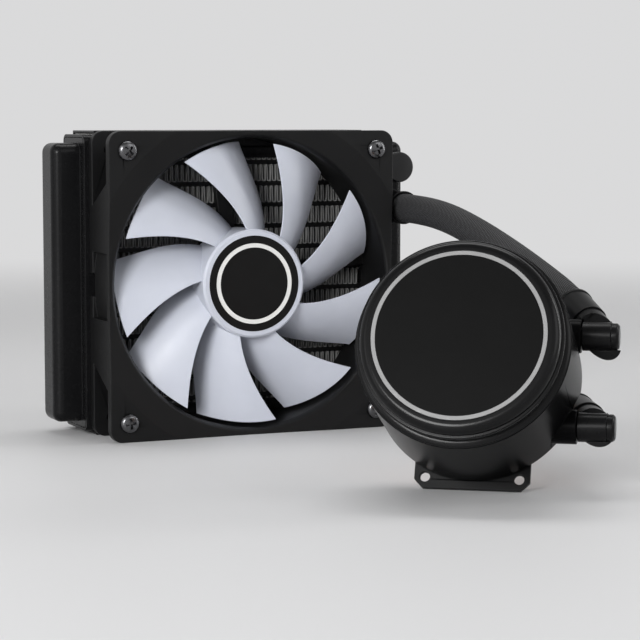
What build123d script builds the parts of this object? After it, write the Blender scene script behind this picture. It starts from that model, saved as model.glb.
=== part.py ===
from build123d import *
import math
import os

# Closed-loop liquid cooler: a radiator with one fan on its front, and a round pump on two hoses.
# Millimetres. The radiator stands on the floor at z = 0, the fan looks along -Y, and the tank
# with the hose fittings is at +X. The origin is under the middle of the radiator.

# Fan frame
fan_side = 120.0
fan_depth = 25.0
fan_corner_radius = 5.0
flange_thickness = 4.0
duct_margin = 2.7
duct_radius = fan_side / 2 - duct_margin
duct_wall = 2.0
lip_step = 1.2
lip_radius = duct_radius + lip_step
lip_depth = 3.0
flare_overhang = 8.0
flare_radius = fan_side / 2 + flare_overhang
flare_depth = 1.4
screw_edge_distance = 7.5
screw_spacing = fan_side - 2 * screw_edge_distance
screw_hole_radius = 2.2
pad_reach = 17.0
pad_inner_height = 13.0
pad_back_height = 31.0
pad_front_height = 40.0
strut_count = 4
strut_width = 6.0
strut_thickness = 3.4
strut_turn = 8.0
motor_base_radius = 21.0
motor_base_thickness = 2.5
motor_base_overlap = 1.4
bearing_tube_radius = 5.2
bearing_tube_wall = 1.4
bearing_tube_top = 17.0
cable_notch_width = 9.0

# Fan rotor
hub_radius = 21.4
hub_wall = 1.4
hub_bottom = 5.0
hub_top = 24.2
hub_roof = 1.8
hub_edge = 0.8
cap_radius = 18.9
cap_thickness = 1.3
cap_clearance = 0.05
light_ring_outer = 15.9
light_ring_inner = 14.26
light_ring_depth = 0.7
hub_boss_radius = 3.6
hub_boss_depth = 3.2
blade_count = 9
blade_tip_gap = 1.7
blade_tip_radius = duct_radius - blade_tip_gap
blade_root_lead = 136.0
blade_root_trail = 98.0
blade_tip_lead = 160.4
blade_tip_trail = 130.4
blade_lead_height = 21.8
blade_root_trail_height = 6.8
blade_tip_trail_height = 8.4
blade_root_thickness = 1.7
blade_tip_thickness = 1.1
blade_edge_thickness = 0.5
blade_camber = 0.09
blade_lead_sweep = 0.3
blade_trail_sweep = 0.6
blade_sections = 5
blade_overshoot = 2.2
blade_root_sink = 0.7

# Fan motor
shaft_radius = 1.5
shaft_socket_radius = 3.0
shaft_socket_depth = 1.0
running_clearance = 0.05
seat_clearance = 0.05
bearing_bottom = 4.5
bearing_length = 12.0
shaft_bottom = 3.0
clip_height = 3.5
clip_thickness = 0.4
clip_radius = 2.8
clip_groove_depth = 0.3
yoke_wall = 0.8
yoke_bottom = 6.0
magnet_wall = 1.5
magnet_bottom = 7.0
magnet_length = 11.0
stator_air_gap = 0.8
stator_bottom = 8.0
stator_height = 6.5
stator_poles = 4
stator_arm_width = 3.4
stator_ring_wall = 2.2
pole_shoe_thickness = 1.6
fan_shoe_gap = 2.4
fan_shoe_gap_depth = 4.0
coil_wall = 1.6
coil_end_gap = 0.45
board_thickness = 1.2
board_radius = 17.0
board_seat = 0.4
board_seat_outer = 15.8
board_seat_inner = 14.6

# Fan screws
screw_head_radius = 4.3
screw_head_height = 2.4
screw_head_edge = 1.3
screw_radius = 1.6
screw_tip_clearance = 0.2

# Radiator
radiator_depth = 27.0
tube_count = 12
tube_field_margin = 12.7
tube_pitch = (fan_side - 2 * tube_field_margin) / (tube_count - 1)
plate_sheet = 1.0
core_gap = 0.5
tube_width = radiator_depth - 2 * plate_sheet - 2 * core_gap
tube_thickness = 1.8
tube_wall = 0.4
tube_clearance = 0.05
tube_end_gap = 0.1
fold_count = 50
fin_crest = 0.85
fin_end_gap = 0.5
side_flange_height = 11.0
thread_radius = 1.65
tap_radius = 1.45
header_inset = 2.2
header_reach = fan_side / 2 - header_inset
header_width = 4.0
header_sheet = 1.2
header_edge_gap = 1.5
header_height = fan_side - 2 * header_edge_gap
header_corner = 3.0
tank_length = 15.2
tank_reach = header_reach + header_width + tank_length
tank_step = 3.35
tank_height = header_height - 2 * tank_step
left_tank_length = 11.2
left_tank_depth = 17.0
tank_wall = 2.0
foot_pocket = 1.4
tank_edge = 4.0
tank_end_edge = 3.6
divider_thickness = 1.5

# Hose fittings and filler on the right tank
fitting_inset = 8.7
fitting_reach = tank_reach - fitting_inset
fitting_collar_radius = 7.5
fitting_collar_length = 3.6
fitting_spigot_radius = 4.4
fitting_barb_length = 15.5
filler_inset = 6.8
filler_x = tank_reach - filler_inset
filler_drop = 10.35
filler_z = (fan_side + tank_height) / 2 - filler_drop
filler_neck_radius = 5.0
filler_neck_length = 6.6
filler_bore_radius = 3.4
filler_cap_radius = 6.2
filler_gap = 2.6
fitting_rise = filler_z - fan_side / 2 - fitting_collar_radius - filler_cap_radius - filler_gap
filler_cap_thickness = 3.4
filler_cap_edge = 0.5
filler_plug_length = 5.0
filler_seal_thickness = 0.6

# Hoses
hose_radius = 5.8
hose_bore_radius = 3.2
barb_radius = 3.12
barb_core_radius = 2.9
barb_ridge_count = 3
flow_radius = 2.2
ferrule_radius = 6.45
ferrule_clearance = 0.08
ferrule_length = 15.0
ferrule_back = 1.0
ferrule_lip_radius = 6.75
ferrule_lip_length = 1.6
hose_seat_gap = 0.2
corner_share = 0.45

# Pump: where it stands, and how it leans back on the lower edge of its mounting plate
pump_x = 25.2
pump_y = -177.8
pump_turn = -36.1
pump_lean = 24.0
plate_thickness = 2.0
plate_width = 39.3
plate_reach = 38.2
plate_corner = 3.0
plate_middle_radius = 31.0
plate_bore_radius = 22.0
lug_hole_radius = 1.7
lug_hole_side = 16.0
lug_hole_reach = 34.3

# Pump body, heights counted from its base
body_radius = 35.5
board_ledge_height = 32.8
light_bay_depth = 8.2
body_height = board_ledge_height + light_bay_depth
body_base_chamfer = 1.5
chamber_radius = 21.8
chamber_height = 17.5
bay_radius = 31.0
bay_bottom = 20.0
board_ledge_radius = 32.0
light_ledge_radius = 33.0
light_board_thickness = 1.2
can_radius = 8.6
can_wall = 1.0
can_board_gap = 0.8
can_height = board_ledge_height - can_board_gap - can_wall
stator_seat_height = 2.0
cable_slot_width = 7.0
cable_slot_height = 3.0
cable_slot_rise = 25.0
cable_slot_overlap = 1.0

# Bezel, face and light ring
step_radius = 33.2
step_rise = 2.4
step_height = body_height + step_rise
groove_radius = 32.4
groove_rise = 0.8
groove_height = step_height + groove_rise
bezel_radius = 33.8
bezel_rise = 9.0
bezel_height = body_height + bezel_rise
bezel_round = 4.2
face_ring_outer = 28.6
face_ring_inner = 27.25
face_ring_skirt = 0.75
light_board_inner = 24.0
face_ring_gap = 1.2
face_ring_bottom = body_height + face_ring_gap
face_ring_depth = 2.4
face_ring_step = bezel_height - face_ring_depth
face_rise = 0.2
face_height = bezel_height + face_rise
light_count = 12
light_size = 3.0
light_height = 0.8
light_circle = 27.8

# Pump rotor and motor
impeller_radius = 10.5
impeller_bottom = 8.3
impeller_plate = 1.4
vane_count = 7
vane_height = 3.6
vane_thickness = 1.0
vane_sweep = 48.0
stem_radius = 4.0
stem_clearance = 1.4
stem_top = can_height - stem_clearance
rotor_magnet_radius = 7.0
rotor_magnet_bottom = 18.0
magnet_top_step = 1.1
rotor_magnet_length = stem_top - magnet_top_step - rotor_magnet_bottom
pump_stator_radius = 21.0
stator_board_gap = 4.8
pump_stator_height = board_ledge_height - stator_board_gap - bay_bottom - stator_seat_height
pump_stator_poles = 6
pump_arm_width = 4.0
pump_shoe_gap = 2.2

# Cold plate and the chamber floor
cold_plate_radius = 29.5
cold_plate_thickness = 3.0
cold_plate_edge = 1.2
cold_boss_clearance = 0.3
rib_field = 24.0
rib_count = 13
rib_thickness = 0.8
rib_height = 1.8
gasket_width = 2.0
gasket_thickness = 1.0
volute_plate_height = 4.0
volute_plate_thickness = 2.0
volute_boss_radius = 3.4
volute_boss_height = 2.0
jet_width = 2.0
jet_length = 18.0
jet_offset = 6.0
cold_screw_side = 11.0
cold_screw_reach = 23.0
cold_screw_radius = 1.2
cold_screw_depth = 4.5
cold_screw_head_radius = 2.2
cold_screw_head_height = 1.2
cold_screw_recess = 0.2

# Swivel elbows
port_height = 7.0
port_upper = 14.5
port_lower = -17.4
port_collar_radius = 5.75
port_collar_reach = 35.2
port_bore_start = 15.0
spigot_radius = 3.5
spigot_start = 25.3
snap_lip_radius = 3.9
snap_lip_length = 1.0
snap_shoulder = 26.6
snap_bore_radius = 4.4
elbow_gap = 0.3
elbow_radius = 4.9
elbow_end = 45.2
branch_reach = 41.5
branch_radius = 5.9
branch_length = 10.5
branch_run = 32.0
relief_start = 5.0
relief_radius = 9.2
relief_length = 27.0
elbow_cap_radius = 4.6
elbow_cap_end = 47.9
elbow_cap_chamfer = 0.8
elbow_plug_radius = 3.0
elbow_plug_length = 2.0
seal_start = 29.5
seal_width = 1.6
seal_depth = 0.9

os.makedirs("parts", exist_ok=True)

# Places worked out from the sizes
centre_height = fan_side / 2
radiator_front = -radiator_depth / 2
screw_offset = screw_spacing / 2
fan_axis = Axis((0, 0, centre_height), (0, -1, 0))
fan_section = Plane(origin=(0, radiator_front, centre_height), x_dir=(1, 0, 0), z_dir=(0, 0, -1))


def fan_plane(height=0.0):
    """Plane across the fan's axis, at a height in front of the radiator, looking out of the front."""
    return Plane(origin=(0, radiator_front - height, centre_height), x_dir=(1, 0, 0), z_dir=(0, -1, 0))


turn = math.radians(pump_turn)
lean = math.radians(pump_lean)
pump_side = Vector(math.cos(turn), math.sin(turn), 0)
pump_out = Vector(math.sin(turn) * math.cos(lean), -math.cos(turn) * math.cos(lean), math.sin(lean))
pump_up = pump_out.cross(pump_side)
pump_rise = plate_reach * math.cos(lean) + plate_thickness * math.sin(lean)
pump_base = Vector(pump_x, pump_y, pump_rise)
pump_axis = Axis(pump_base, pump_out)
pump_section = Plane(origin=pump_base, x_dir=pump_side, z_dir=-pump_up)


def pump_plane(height=0.0):
    """Plane across the pump's axis, at a height above the base of its body."""
    return Plane(origin=pump_base + pump_out * height, x_dir=pump_side, z_dir=pump_out)


def port_plane(rise, reach=0.0):
    """Plane across a port's axis, at a distance out from the pump's axis."""
    centre = pump_base + pump_up * rise + pump_out * port_height + pump_side * reach
    return Plane(origin=centre, x_dir=pump_out, z_dir=pump_side)


def ring(height, length, outer, inner, plane=pump_plane):
    """Adds a plain ring to the part that is being built."""
    with BuildSketch(plane(height)) as profile:
        Circle(outer)
        Circle(inner, mode=Mode.SUBTRACT)
    extrude(profile.sketch, amount=length)


def finish(builder, label):
    """Labels a finished piece and writes it."""
    builder.part.label = label
    export_step(builder.part, f"parts/{label}.step")


# Radiator core
tube_heights = [centre_height + tube_pitch * (i - (tube_count - 1) / 2) for i in range(tube_count)]
tube_reach = header_reach + header_sheet - tube_end_gap

with BuildPart() as radiator_tubes:
    with BuildSketch(Plane.YZ.offset(-tube_reach)):
        with Locations(*[(0, height) for height in tube_heights]):
            Rectangle(tube_width, tube_thickness)
            Rectangle(tube_width - 2 * tube_wall, tube_thickness - 2 * tube_wall, mode=Mode.SUBTRACT)
    extrude(amount=2 * tube_reach)
finish(radiator_tubes, "radiator_tubes")

fin_half_length = header_reach - fin_end_gap
fold_pitch = 2 * fin_half_length / fold_count
row_floors = [plate_sheet] + [height + tube_thickness / 2 for height in tube_heights]
row_roofs = [height - tube_thickness / 2 for height in tube_heights] + [fan_side - plate_sheet]

with BuildPart() as radiator_fins:
    with BuildSketch(Plane.XZ.offset(-tube_width / 2)):
        for floor, roof in zip(row_floors, row_roofs):
            lower_edge = []
            upper_edge = []
            for fold in range(fold_count + 1):
                x = -fin_half_length + fold * fold_pitch
                z = roof - fin_crest if fold % 2 else floor
                lower_edge.append((x, z))
                upper_edge.append((x, z + fin_crest))
            with BuildLine():
                Polyline(*lower_edge, *reversed(upper_edge), close=True)
            make_face()
    extrude(amount=tube_width)
finish(radiator_fins, "radiator_fins")

# Side plates: folded channels over the first and last rows, tapped for the fan in front and the case behind
for label, web, side in (("side_plate_bottom", 0.0, 1), ("side_plate_top", fan_side, -1)):
    flange_middle = web + side * side_flange_height / 2
    with BuildPart() as side_plate:
        with BuildSketch(Plane.YZ.offset(-header_reach)):
            with Locations((0, flange_middle)):
                Rectangle(radiator_depth, side_flange_height)
            with Locations((0, flange_middle + side * plate_sheet)):
                Rectangle(radiator_depth - 2 * plate_sheet, side_flange_height, mode=Mode.SUBTRACT)
        extrude(amount=2 * header_reach)
        hole_height = centre_height - side * screw_offset
        for start, hole_radius in ((0.0, thread_radius), (-radiator_depth, tap_radius)):
            with BuildSketch(Plane.XZ.offset(start)):
                with Locations((-screw_offset, hole_height), (screw_offset, hole_height)):
                    Circle(hole_radius)
            extrude(amount=radiator_depth, mode=Mode.SUBTRACT)
    finish(side_plate, label)

# Header plates: trays that hold the tubes' ends and the tank's foot
for label, side in (("header_plate_left", -1), ("header_plate_right", 1)):
    inner_face = Plane(origin=(side * header_reach, 0, centre_height), x_dir=(0, 1, 0), z_dir=(side, 0, 0))
    with BuildPart() as header:
        with BuildSketch(inner_face):
            RectangleRounded(radiator_depth, header_height, header_corner)
        extrude(amount=header_width)
        with BuildSketch(inner_face.offset(header_sheet)):
            RectangleRounded(
                radiator_depth - 2 * header_sheet,
                header_height - 2 * header_sheet,
                header_corner - header_sheet,
            )
        extrude(amount=header_width, mode=Mode.SUBTRACT)
        with BuildSketch(inner_face):
            with Locations(*[(0, side * (height - centre_height)) for height in tube_heights]):
                Rectangle(tube_width + 2 * tube_clearance, tube_thickness + 2 * tube_clearance)
        extrude(amount=header_sheet, mode=Mode.SUBTRACT)
    finish(header, label)

# Tanks: closed shells that are open towards the tubes, with a foot inside the header's tray
foot_start = header_reach + header_sheet
foot_depth = radiator_depth - 2 * header_sheet - 2 * seat_clearance
foot_height = header_height - 2 * header_sheet - 2 * seat_clearance
foot_corner = header_corner - header_sheet - seat_clearance
tank_start = header_reach + header_width
cavity_depth = foot_depth - 2 * tank_wall
cavity_height = tank_height - 2 * tank_wall
fitting_heights = {"upper": centre_height + fitting_rise, "lower": centre_height - fitting_rise}

tank_shapes = (
    ("tank_left", -1, left_tank_length, left_tank_depth, left_tank_depth - 2 * tank_wall),
    ("tank_right", 1, tank_length, radiator_depth, cavity_depth),
)
for label, side, length, depth, inner_depth in tank_shapes:
    foot_plane = Plane(origin=(side * foot_start, 0, centre_height), x_dir=(0, 1, 0), z_dir=(side, 0, 0))
    tank_plane = foot_plane.offset(tank_start - foot_start)
    with BuildPart() as tank:
        with BuildSketch(tank_plane):
            RectangleRounded(depth, tank_height, tank_edge)
        extrude(amount=length)
        end_face = tank.faces().sort_by(Axis.X)[-1 if side > 0 else 0]
        fillet(end_face.edges(), radius=tank_end_edge)
        with BuildSketch(foot_plane):
            RectangleRounded(foot_depth, foot_height, foot_corner)
        extrude(amount=tank_start - foot_start)
        with BuildSketch(foot_plane):
            RectangleRounded(cavity_depth, cavity_height, foot_corner)
        extrude(amount=foot_pocket, mode=Mode.SUBTRACT)
        with BuildSketch(foot_plane):
            RectangleRounded(inner_depth, cavity_height, foot_corner)
        extrude(amount=tank_start + length - tank_wall - foot_start, mode=Mode.SUBTRACT)
        if side > 0:
            front = Plane.XZ.offset(-radiator_front)
            with BuildSketch(front):
                with Locations(*[(fitting_reach, height) for height in fitting_heights.values()]):
                    Circle(fitting_spigot_radius + seat_clearance)
                with Locations((filler_x, filler_z)):
                    Circle(filler_bore_radius)
            extrude(amount=-(radiator_depth - cavity_depth) / 2, mode=Mode.SUBTRACT)
    finish(tank, label)

with BuildPart() as tank_divider:
    divider_foot = (foot_start + seat_clearance, 0, centre_height)
    with BuildSketch(Plane(origin=divider_foot, x_dir=(0, 1, 0), z_dir=(1, 0, 0))):
        Rectangle(cavity_depth - 2 * seat_clearance, divider_thickness)
    extrude(amount=tank_reach - tank_wall - foot_start - 2 * seat_clearance)
finish(tank_divider, "tank_divider")


def front_plane(x, z, reach=0.0):
    """Plane at a place on the tank's front face, looking out of it, at a distance in front."""
    return Plane(origin=(x, radiator_front - reach, z), x_dir=(1, 0, 0), z_dir=(0, -1, 0))


def barb(plane, length):
    """Adds a ridged barb along the plane's normal to the part that is being built."""
    with BuildSketch(plane) as profile:
        Circle(barb_core_radius)
    extrude(profile.sketch, amount=length)
    ridge = length / (barb_ridge_count + 1)
    for step in range(1, barb_ridge_count + 1):
        with BuildSketch(plane.offset(step * ridge)) as profile:
            Circle(barb_radius)
        extrude(profile.sketch, amount=ridge / 2)


def ferrule(plane):
    """Adds a crimped ferrule with a closed back and a rolled lip to the part that is being built."""
    with BuildSketch(plane) as profile:
        Circle(ferrule_radius)
    extrude(profile.sketch, amount=ferrule_length)
    with BuildSketch(plane.offset(ferrule_length - ferrule_lip_length)) as profile:
        Circle(ferrule_lip_radius)
    extrude(profile.sketch, amount=ferrule_lip_length)
    with BuildSketch(plane.offset(ferrule_back)) as profile:
        Circle(hose_radius + ferrule_clearance)
    extrude(profile.sketch, amount=ferrule_length, mode=Mode.SUBTRACT)
    with BuildSketch(plane) as profile:
        Circle(barb_radius + ferrule_clearance)
    extrude(profile.sketch, amount=ferrule_length, mode=Mode.SUBTRACT)


spigot_depth = (radiator_depth - cavity_depth) / 2
for name, height in fitting_heights.items():
    with BuildPart() as fitting:
        with BuildSketch(front_plane(fitting_reach, height)):
            Circle(fitting_collar_radius)
        extrude(amount=fitting_collar_length)
        with BuildSketch(front_plane(fitting_reach, height, -spigot_depth)):
            Circle(fitting_spigot_radius)
        extrude(amount=spigot_depth)
        barb(front_plane(fitting_reach, height, fitting_collar_length), fitting_barb_length)
        with BuildSketch(front_plane(fitting_reach, height, -spigot_depth)):
            Circle(flow_radius)
        extrude(amount=spigot_depth + fitting_collar_length + fitting_barb_length, mode=Mode.SUBTRACT)
    finish(fitting, f"hose_fitting_{name}")
    with BuildPart() as radiator_ferrule:
        ferrule(front_plane(fitting_reach, height, fitting_collar_length))
    finish(radiator_ferrule, f"ferrule_radiator_{name}")

# Filler on the tank's front: neck, cap and seal
cap_start = filler_neck_length + filler_seal_thickness
with BuildPart() as filler_neck:
    with BuildSketch(front_plane(filler_x, filler_z)):
        Circle(filler_neck_radius)
        Circle(filler_bore_radius, mode=Mode.SUBTRACT)
    extrude(amount=filler_neck_length)
finish(filler_neck, "filler_neck")

with BuildPart() as filler_seal:
    with BuildSketch(front_plane(filler_x, filler_z, filler_neck_length)):
        Circle(filler_neck_radius)
        Circle(filler_bore_radius, mode=Mode.SUBTRACT)
    extrude(amount=filler_seal_thickness)
finish(filler_seal, "filler_seal")

with BuildPart() as filler_cap:
    with BuildSketch(front_plane(filler_x, filler_z, cap_start)):
        Circle(filler_cap_radius)
    extrude(amount=filler_cap_thickness)
    chamfer(filler_cap.edges().group_by(Axis.Y)[0], length=filler_cap_edge)
    with BuildSketch(front_plane(filler_x, filler_z, cap_start - filler_plug_length)):
        Circle(filler_bore_radius - seat_clearance)
    extrude(amount=filler_plug_length)
finish(filler_cap, "filler_cap")

# Fan frame
with BuildPart() as side_pad:
    for direction in (1, -1):
        with BuildSketch(Plane.YZ.offset(-fan_side / 2)):
            back = radiator_front - flange_thickness
            front = radiator_front - fan_depth + flange_thickness
            inner = centre_height + direction * pad_inner_height
            with BuildLine():
                Polyline(
                    (back, inner),
                    (front, inner),
                    (front, centre_height + direction * pad_front_height),
                    (back, centre_height + direction * pad_back_height),
                    close=True,
                )
            make_face()
        extrude(amount=pad_reach)

with BuildPart() as fan_frame:
    for height in (0.0, fan_depth - flange_thickness):
        with BuildSketch(fan_plane(height)):
            RectangleRounded(fan_side, fan_side, fan_corner_radius)
            with GridLocations(screw_spacing, screw_spacing, 2, 2):
                Circle(screw_hole_radius, mode=Mode.SUBTRACT)
        extrude(amount=flange_thickness)
    with BuildSketch(fan_plane()):
        Circle(duct_radius + duct_wall)
    extrude(amount=fan_depth)
    for quarter in range(4):
        add(side_pad.part.rotate(fan_axis, 90 * quarter))
    with BuildSketch(fan_section):
        with BuildLine():
            Polyline(
                (0, 0),
                (duct_radius, 0),
                (duct_radius, fan_depth - lip_depth),
                (lip_radius, fan_depth - flare_depth),
                (flare_radius, fan_depth),
                (0, fan_depth),
                close=True,
            )
        make_face()
    revolve(axis=fan_axis, mode=Mode.SUBTRACT)
    with BuildSketch(fan_plane()):
        Circle(motor_base_radius)
    extrude(amount=motor_base_thickness)
    strut_length = duct_radius + duct_wall / 2 - motor_base_radius / 2
    strut_middle = duct_radius + duct_wall / 2 - strut_length / 2
    with BuildSketch(fan_plane()):
        with PolarLocations(strut_middle, strut_count, start_angle=strut_turn):
            Rectangle(strut_length, strut_width)
        Circle(motor_base_radius - motor_base_overlap, mode=Mode.SUBTRACT)
    extrude(amount=strut_thickness)
    with BuildSketch(fan_plane()):
        Circle(bearing_tube_radius)
    extrude(amount=bearing_tube_top)
    with BuildSketch(fan_plane(motor_base_thickness)):
        Circle(board_seat_outer)
        Circle(board_seat_inner, mode=Mode.SUBTRACT)
    extrude(amount=board_seat)
    bearing_radius = bearing_tube_radius - bearing_tube_wall
    with BuildSketch(fan_plane(motor_base_thickness)):
        Circle(bearing_radius)
    extrude(amount=bearing_tube_top, mode=Mode.SUBTRACT)
    with BuildSketch(fan_plane()):
        with Locations((-fan_side / 2, 0)):
            Rectangle(duct_wall * 2, cable_notch_width)
    extrude(amount=flange_thickness, mode=Mode.SUBTRACT)
finish(fan_frame, "fan_frame")

# Fan screws, through the frame into the side plates
screw_length = fan_depth + plate_sheet + screw_tip_clearance
with BuildPart() as fan_screws:
    with BuildSketch(fan_plane(fan_depth)):
        with GridLocations(screw_spacing, screw_spacing, 2, 2):
            Circle(screw_head_radius)
    extrude(amount=screw_head_height)
    fillet(fan_screws.edges().group_by(Axis.Y)[0], radius=screw_head_edge)
    with BuildSketch(fan_plane(fan_depth)):
        with GridLocations(screw_spacing, screw_spacing, 2, 2):
            Circle(screw_radius)
    extrude(amount=-screw_length)
finish(fan_screws, "fan_screws")


def blend_share(share, early):
    """Eases a share of the blade's span, so that the edge sweeps more near the hub."""
    return (1 + early) * share - early * share * share


# One blade, lofted through sections that stand across its radius, and cut to the hub and the tip circle
with BuildPart() as blade:
    for step in range(blade_sections):
        root_radius = hub_radius - blade_root_sink
        span = blade_tip_radius + blade_overshoot - root_radius
        radius = root_radius + span * step / (blade_sections - 1)
        share = (radius - hub_radius) / (blade_tip_radius - hub_radius)
        lead_share = blend_share(share, blade_lead_sweep)
        trail_share = blend_share(share, blade_trail_sweep)
        lead = blade_root_lead + (blade_tip_lead - blade_root_lead) * lead_share
        trail = blade_root_trail + (blade_tip_trail - blade_root_trail) * trail_share
        trail_height = blade_root_trail_height + (blade_tip_trail_height - blade_root_trail_height) * share
        middle = math.radians((lead + trail) / 2)
        half = math.radians((lead - trail) / 2)
        radial = Vector(math.cos(middle), 0, math.sin(middle))
        foot = Vector(0, radiator_front, centre_height) + radial * (radius * math.cos(half))
        section = Plane(origin=foot, x_dir=(-math.sin(middle), 0, math.cos(middle)), z_dir=radial)
        width = radius * math.sin(half)
        chord = Vector(2 * width, blade_lead_height - trail_height)
        normal = Vector(-chord.Y, chord.X).normalized()
        start = Vector(-width, trail_height)
        end = Vector(width, blade_lead_height)
        bulge = (start + end) / 2 + normal * (blade_camber * chord.length)
        thickness = blade_root_thickness + (blade_tip_thickness - blade_root_thickness) * share
        edge = normal * (blade_edge_thickness / 2)
        with BuildSketch(section):
            with BuildLine():
                ThreePointArc(start + edge, bulge + normal * (thickness / 2), end + edge)
                Line(end + edge, end - edge)
                ThreePointArc(end - edge, bulge - normal * (thickness / 2), start - edge)
                Line(start - edge, start + edge)
            make_face()
    loft()
    with BuildSketch(fan_plane()):
        Circle(blade_tip_radius)
        Circle(root_radius, mode=Mode.SUBTRACT)
    extrude(amount=fan_depth, mode=Mode.INTERSECT)

with BuildPart() as fan_rotor:
    with BuildSketch(fan_plane(hub_bottom)):
        Circle(hub_radius)
    extrude(amount=hub_top - hub_bottom)
    chamfer(fan_rotor.edges().group_by(Axis.Y)[0], length=hub_edge)
    with BuildSketch(fan_plane(hub_bottom)):
        Circle(hub_radius - hub_wall)
    extrude(amount=hub_top - hub_bottom - cap_thickness - hub_roof, mode=Mode.SUBTRACT)
    with BuildSketch(fan_plane(hub_top - cap_thickness)):
        Circle(cap_radius + cap_clearance)
    extrude(amount=cap_thickness, mode=Mode.SUBTRACT)
    roof_bottom = hub_top - cap_thickness - hub_roof
    with BuildSketch(fan_plane(roof_bottom - hub_boss_depth)):
        Circle(hub_boss_radius)
        Circle(shaft_radius, mode=Mode.SUBTRACT)
    extrude(amount=hub_boss_depth)
    for index in range(blade_count):
        add(blade.part.rotate(fan_axis, 360 / blade_count * index))
finish(fan_rotor, "fan_rotor")

with BuildPart() as hub_cap:
    with BuildSketch(fan_plane(hub_top - cap_thickness)):
        Circle(cap_radius)
    extrude(amount=cap_thickness)
    with BuildSketch(fan_plane(hub_top - light_ring_depth)):
        Circle(light_ring_outer + cap_clearance)
        Circle(light_ring_inner - cap_clearance, mode=Mode.SUBTRACT)
    extrude(amount=light_ring_depth, mode=Mode.SUBTRACT)
finish(hub_cap, "hub_cap")

with BuildPart() as hub_light_ring:
    ring(hub_top - light_ring_depth, light_ring_depth, light_ring_outer, light_ring_inner, fan_plane)
finish(hub_light_ring, "hub_light_ring")

# Fan motor
yoke_outer = hub_radius - hub_wall - seat_clearance
yoke_top = roof_bottom - seat_clearance
with BuildPart() as rotor_yoke:
    with BuildSketch(fan_plane(yoke_bottom)):
        Circle(yoke_outer)
    extrude(amount=yoke_top - yoke_bottom)
    with BuildSketch(fan_plane(yoke_bottom)):
        Circle(yoke_outer - yoke_wall)
    extrude(amount=yoke_top - yoke_bottom - yoke_wall, mode=Mode.SUBTRACT)
    with BuildSketch(fan_plane(yoke_bottom)):
        Circle(hub_boss_radius + seat_clearance)
    extrude(amount=yoke_top - yoke_bottom, mode=Mode.SUBTRACT)
finish(rotor_yoke, "rotor_yoke")

magnet_outer = yoke_outer - yoke_wall - seat_clearance
magnet_inner = magnet_outer - magnet_wall
with BuildPart() as rotor_magnet:
    ring(magnet_bottom, magnet_length, magnet_outer, magnet_inner, fan_plane)
finish(rotor_magnet, "rotor_magnet")

with BuildPart() as rotor_shaft:
    with BuildSketch(fan_plane(shaft_bottom)):
        Circle(shaft_radius)
    extrude(amount=roof_bottom - shaft_bottom)
    with BuildSketch(fan_plane(clip_height)):
        Circle(shaft_radius + clip_groove_depth)
        Circle(shaft_radius - clip_groove_depth, mode=Mode.SUBTRACT)
    extrude(amount=clip_thickness, mode=Mode.SUBTRACT)
finish(rotor_shaft, "rotor_shaft")

with BuildPart() as sleeve_bearing:
    ring(
        bearing_bottom,
        bearing_length,
        bearing_radius - seat_clearance,
        shaft_radius + running_clearance,
        fan_plane,
    )
finish(sleeve_bearing, "sleeve_bearing")

with BuildPart() as shaft_clip:
    ring(clip_height, clip_thickness, clip_radius, shaft_radius - clip_groove_depth, fan_plane)
finish(shaft_clip, "shaft_clip")


def stator(plane, bottom, height, bore, reach, poles, arm):
    """Adds a laminated core with arms and pole shoes to the part that is being built."""
    with BuildSketch(plane(bottom)) as profile:
        Circle(reach)
        Circle(reach - pole_shoe_thickness, mode=Mode.SUBTRACT)
        with PolarLocations(reach, poles, start_angle=180 / poles):
            Rectangle(fan_shoe_gap_depth, fan_shoe_gap, mode=Mode.SUBTRACT)
        Circle(bore + stator_ring_wall)
        with PolarLocations((bore + reach) / 2, poles):
            Rectangle(reach - bore - pole_shoe_thickness, arm)
        Circle(bore, mode=Mode.SUBTRACT)
    extrude(profile.sketch, amount=height)


def windings(plane, bottom, height, inner, outer, poles, arm):
    """Adds one coil round each arm of a core to the part that is being built."""
    length = outer - inner
    for pole in range(poles):
        angle = math.radians(360 / poles * pole)
        base = plane(bottom + height / 2)
        out = base.x_dir * math.cos(angle) + base.y_dir * math.sin(angle)
        coil_plane = Plane(origin=base.origin + out * inner, x_dir=base.z_dir, z_dir=out)
        with BuildSketch(coil_plane) as profile:
            RectangleRounded(height + 2 * coil_wall, arm + 2 * coil_wall, coil_wall)
            Rectangle(height + 2 * seat_clearance, arm + 2 * seat_clearance, mode=Mode.SUBTRACT)
        extrude(profile.sketch, amount=length)


stator_radius = magnet_inner - stator_air_gap
stator_bore = bearing_tube_radius + seat_clearance
with BuildPart() as fan_stator_core:
    stator(
        fan_plane, stator_bottom, stator_height, stator_bore, stator_radius, stator_poles, stator_arm_width
    )
finish(fan_stator_core, "fan_stator_core")

with BuildPart() as fan_coils:
    windings(
        fan_plane,
        stator_bottom,
        stator_height,
        stator_bore + stator_ring_wall + coil_end_gap,
        stator_radius - pole_shoe_thickness - coil_end_gap,
        stator_poles,
        stator_arm_width,
    )
finish(fan_coils, "fan_coils")

with BuildPart() as fan_circuit_board:
    ring(
        motor_base_thickness + board_seat,
        board_thickness,
        board_radius,
        bearing_tube_radius + seat_clearance,
        fan_plane,
    )
finish(fan_circuit_board, "fan_circuit_board")

# Each branch leaves its port's axis down behind the pump: its port's rise, and its direction
branch_ways = {
    "upper": (port_upper, pump_side * -0.44 + pump_up * 0.637 - pump_out * 0.633),
    "lower": (port_lower, pump_side * -0.359 + pump_up * 0.449 - pump_out * 0.818),
}


def branch_plane(rise, way, distance=0.0):
    """Plane across a hose branch, at a distance along it from its port's axis."""
    direction = way.normalized()
    return Plane(origin=port_plane(rise, branch_reach).origin + direction * distance, z_dir=direction)


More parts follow.
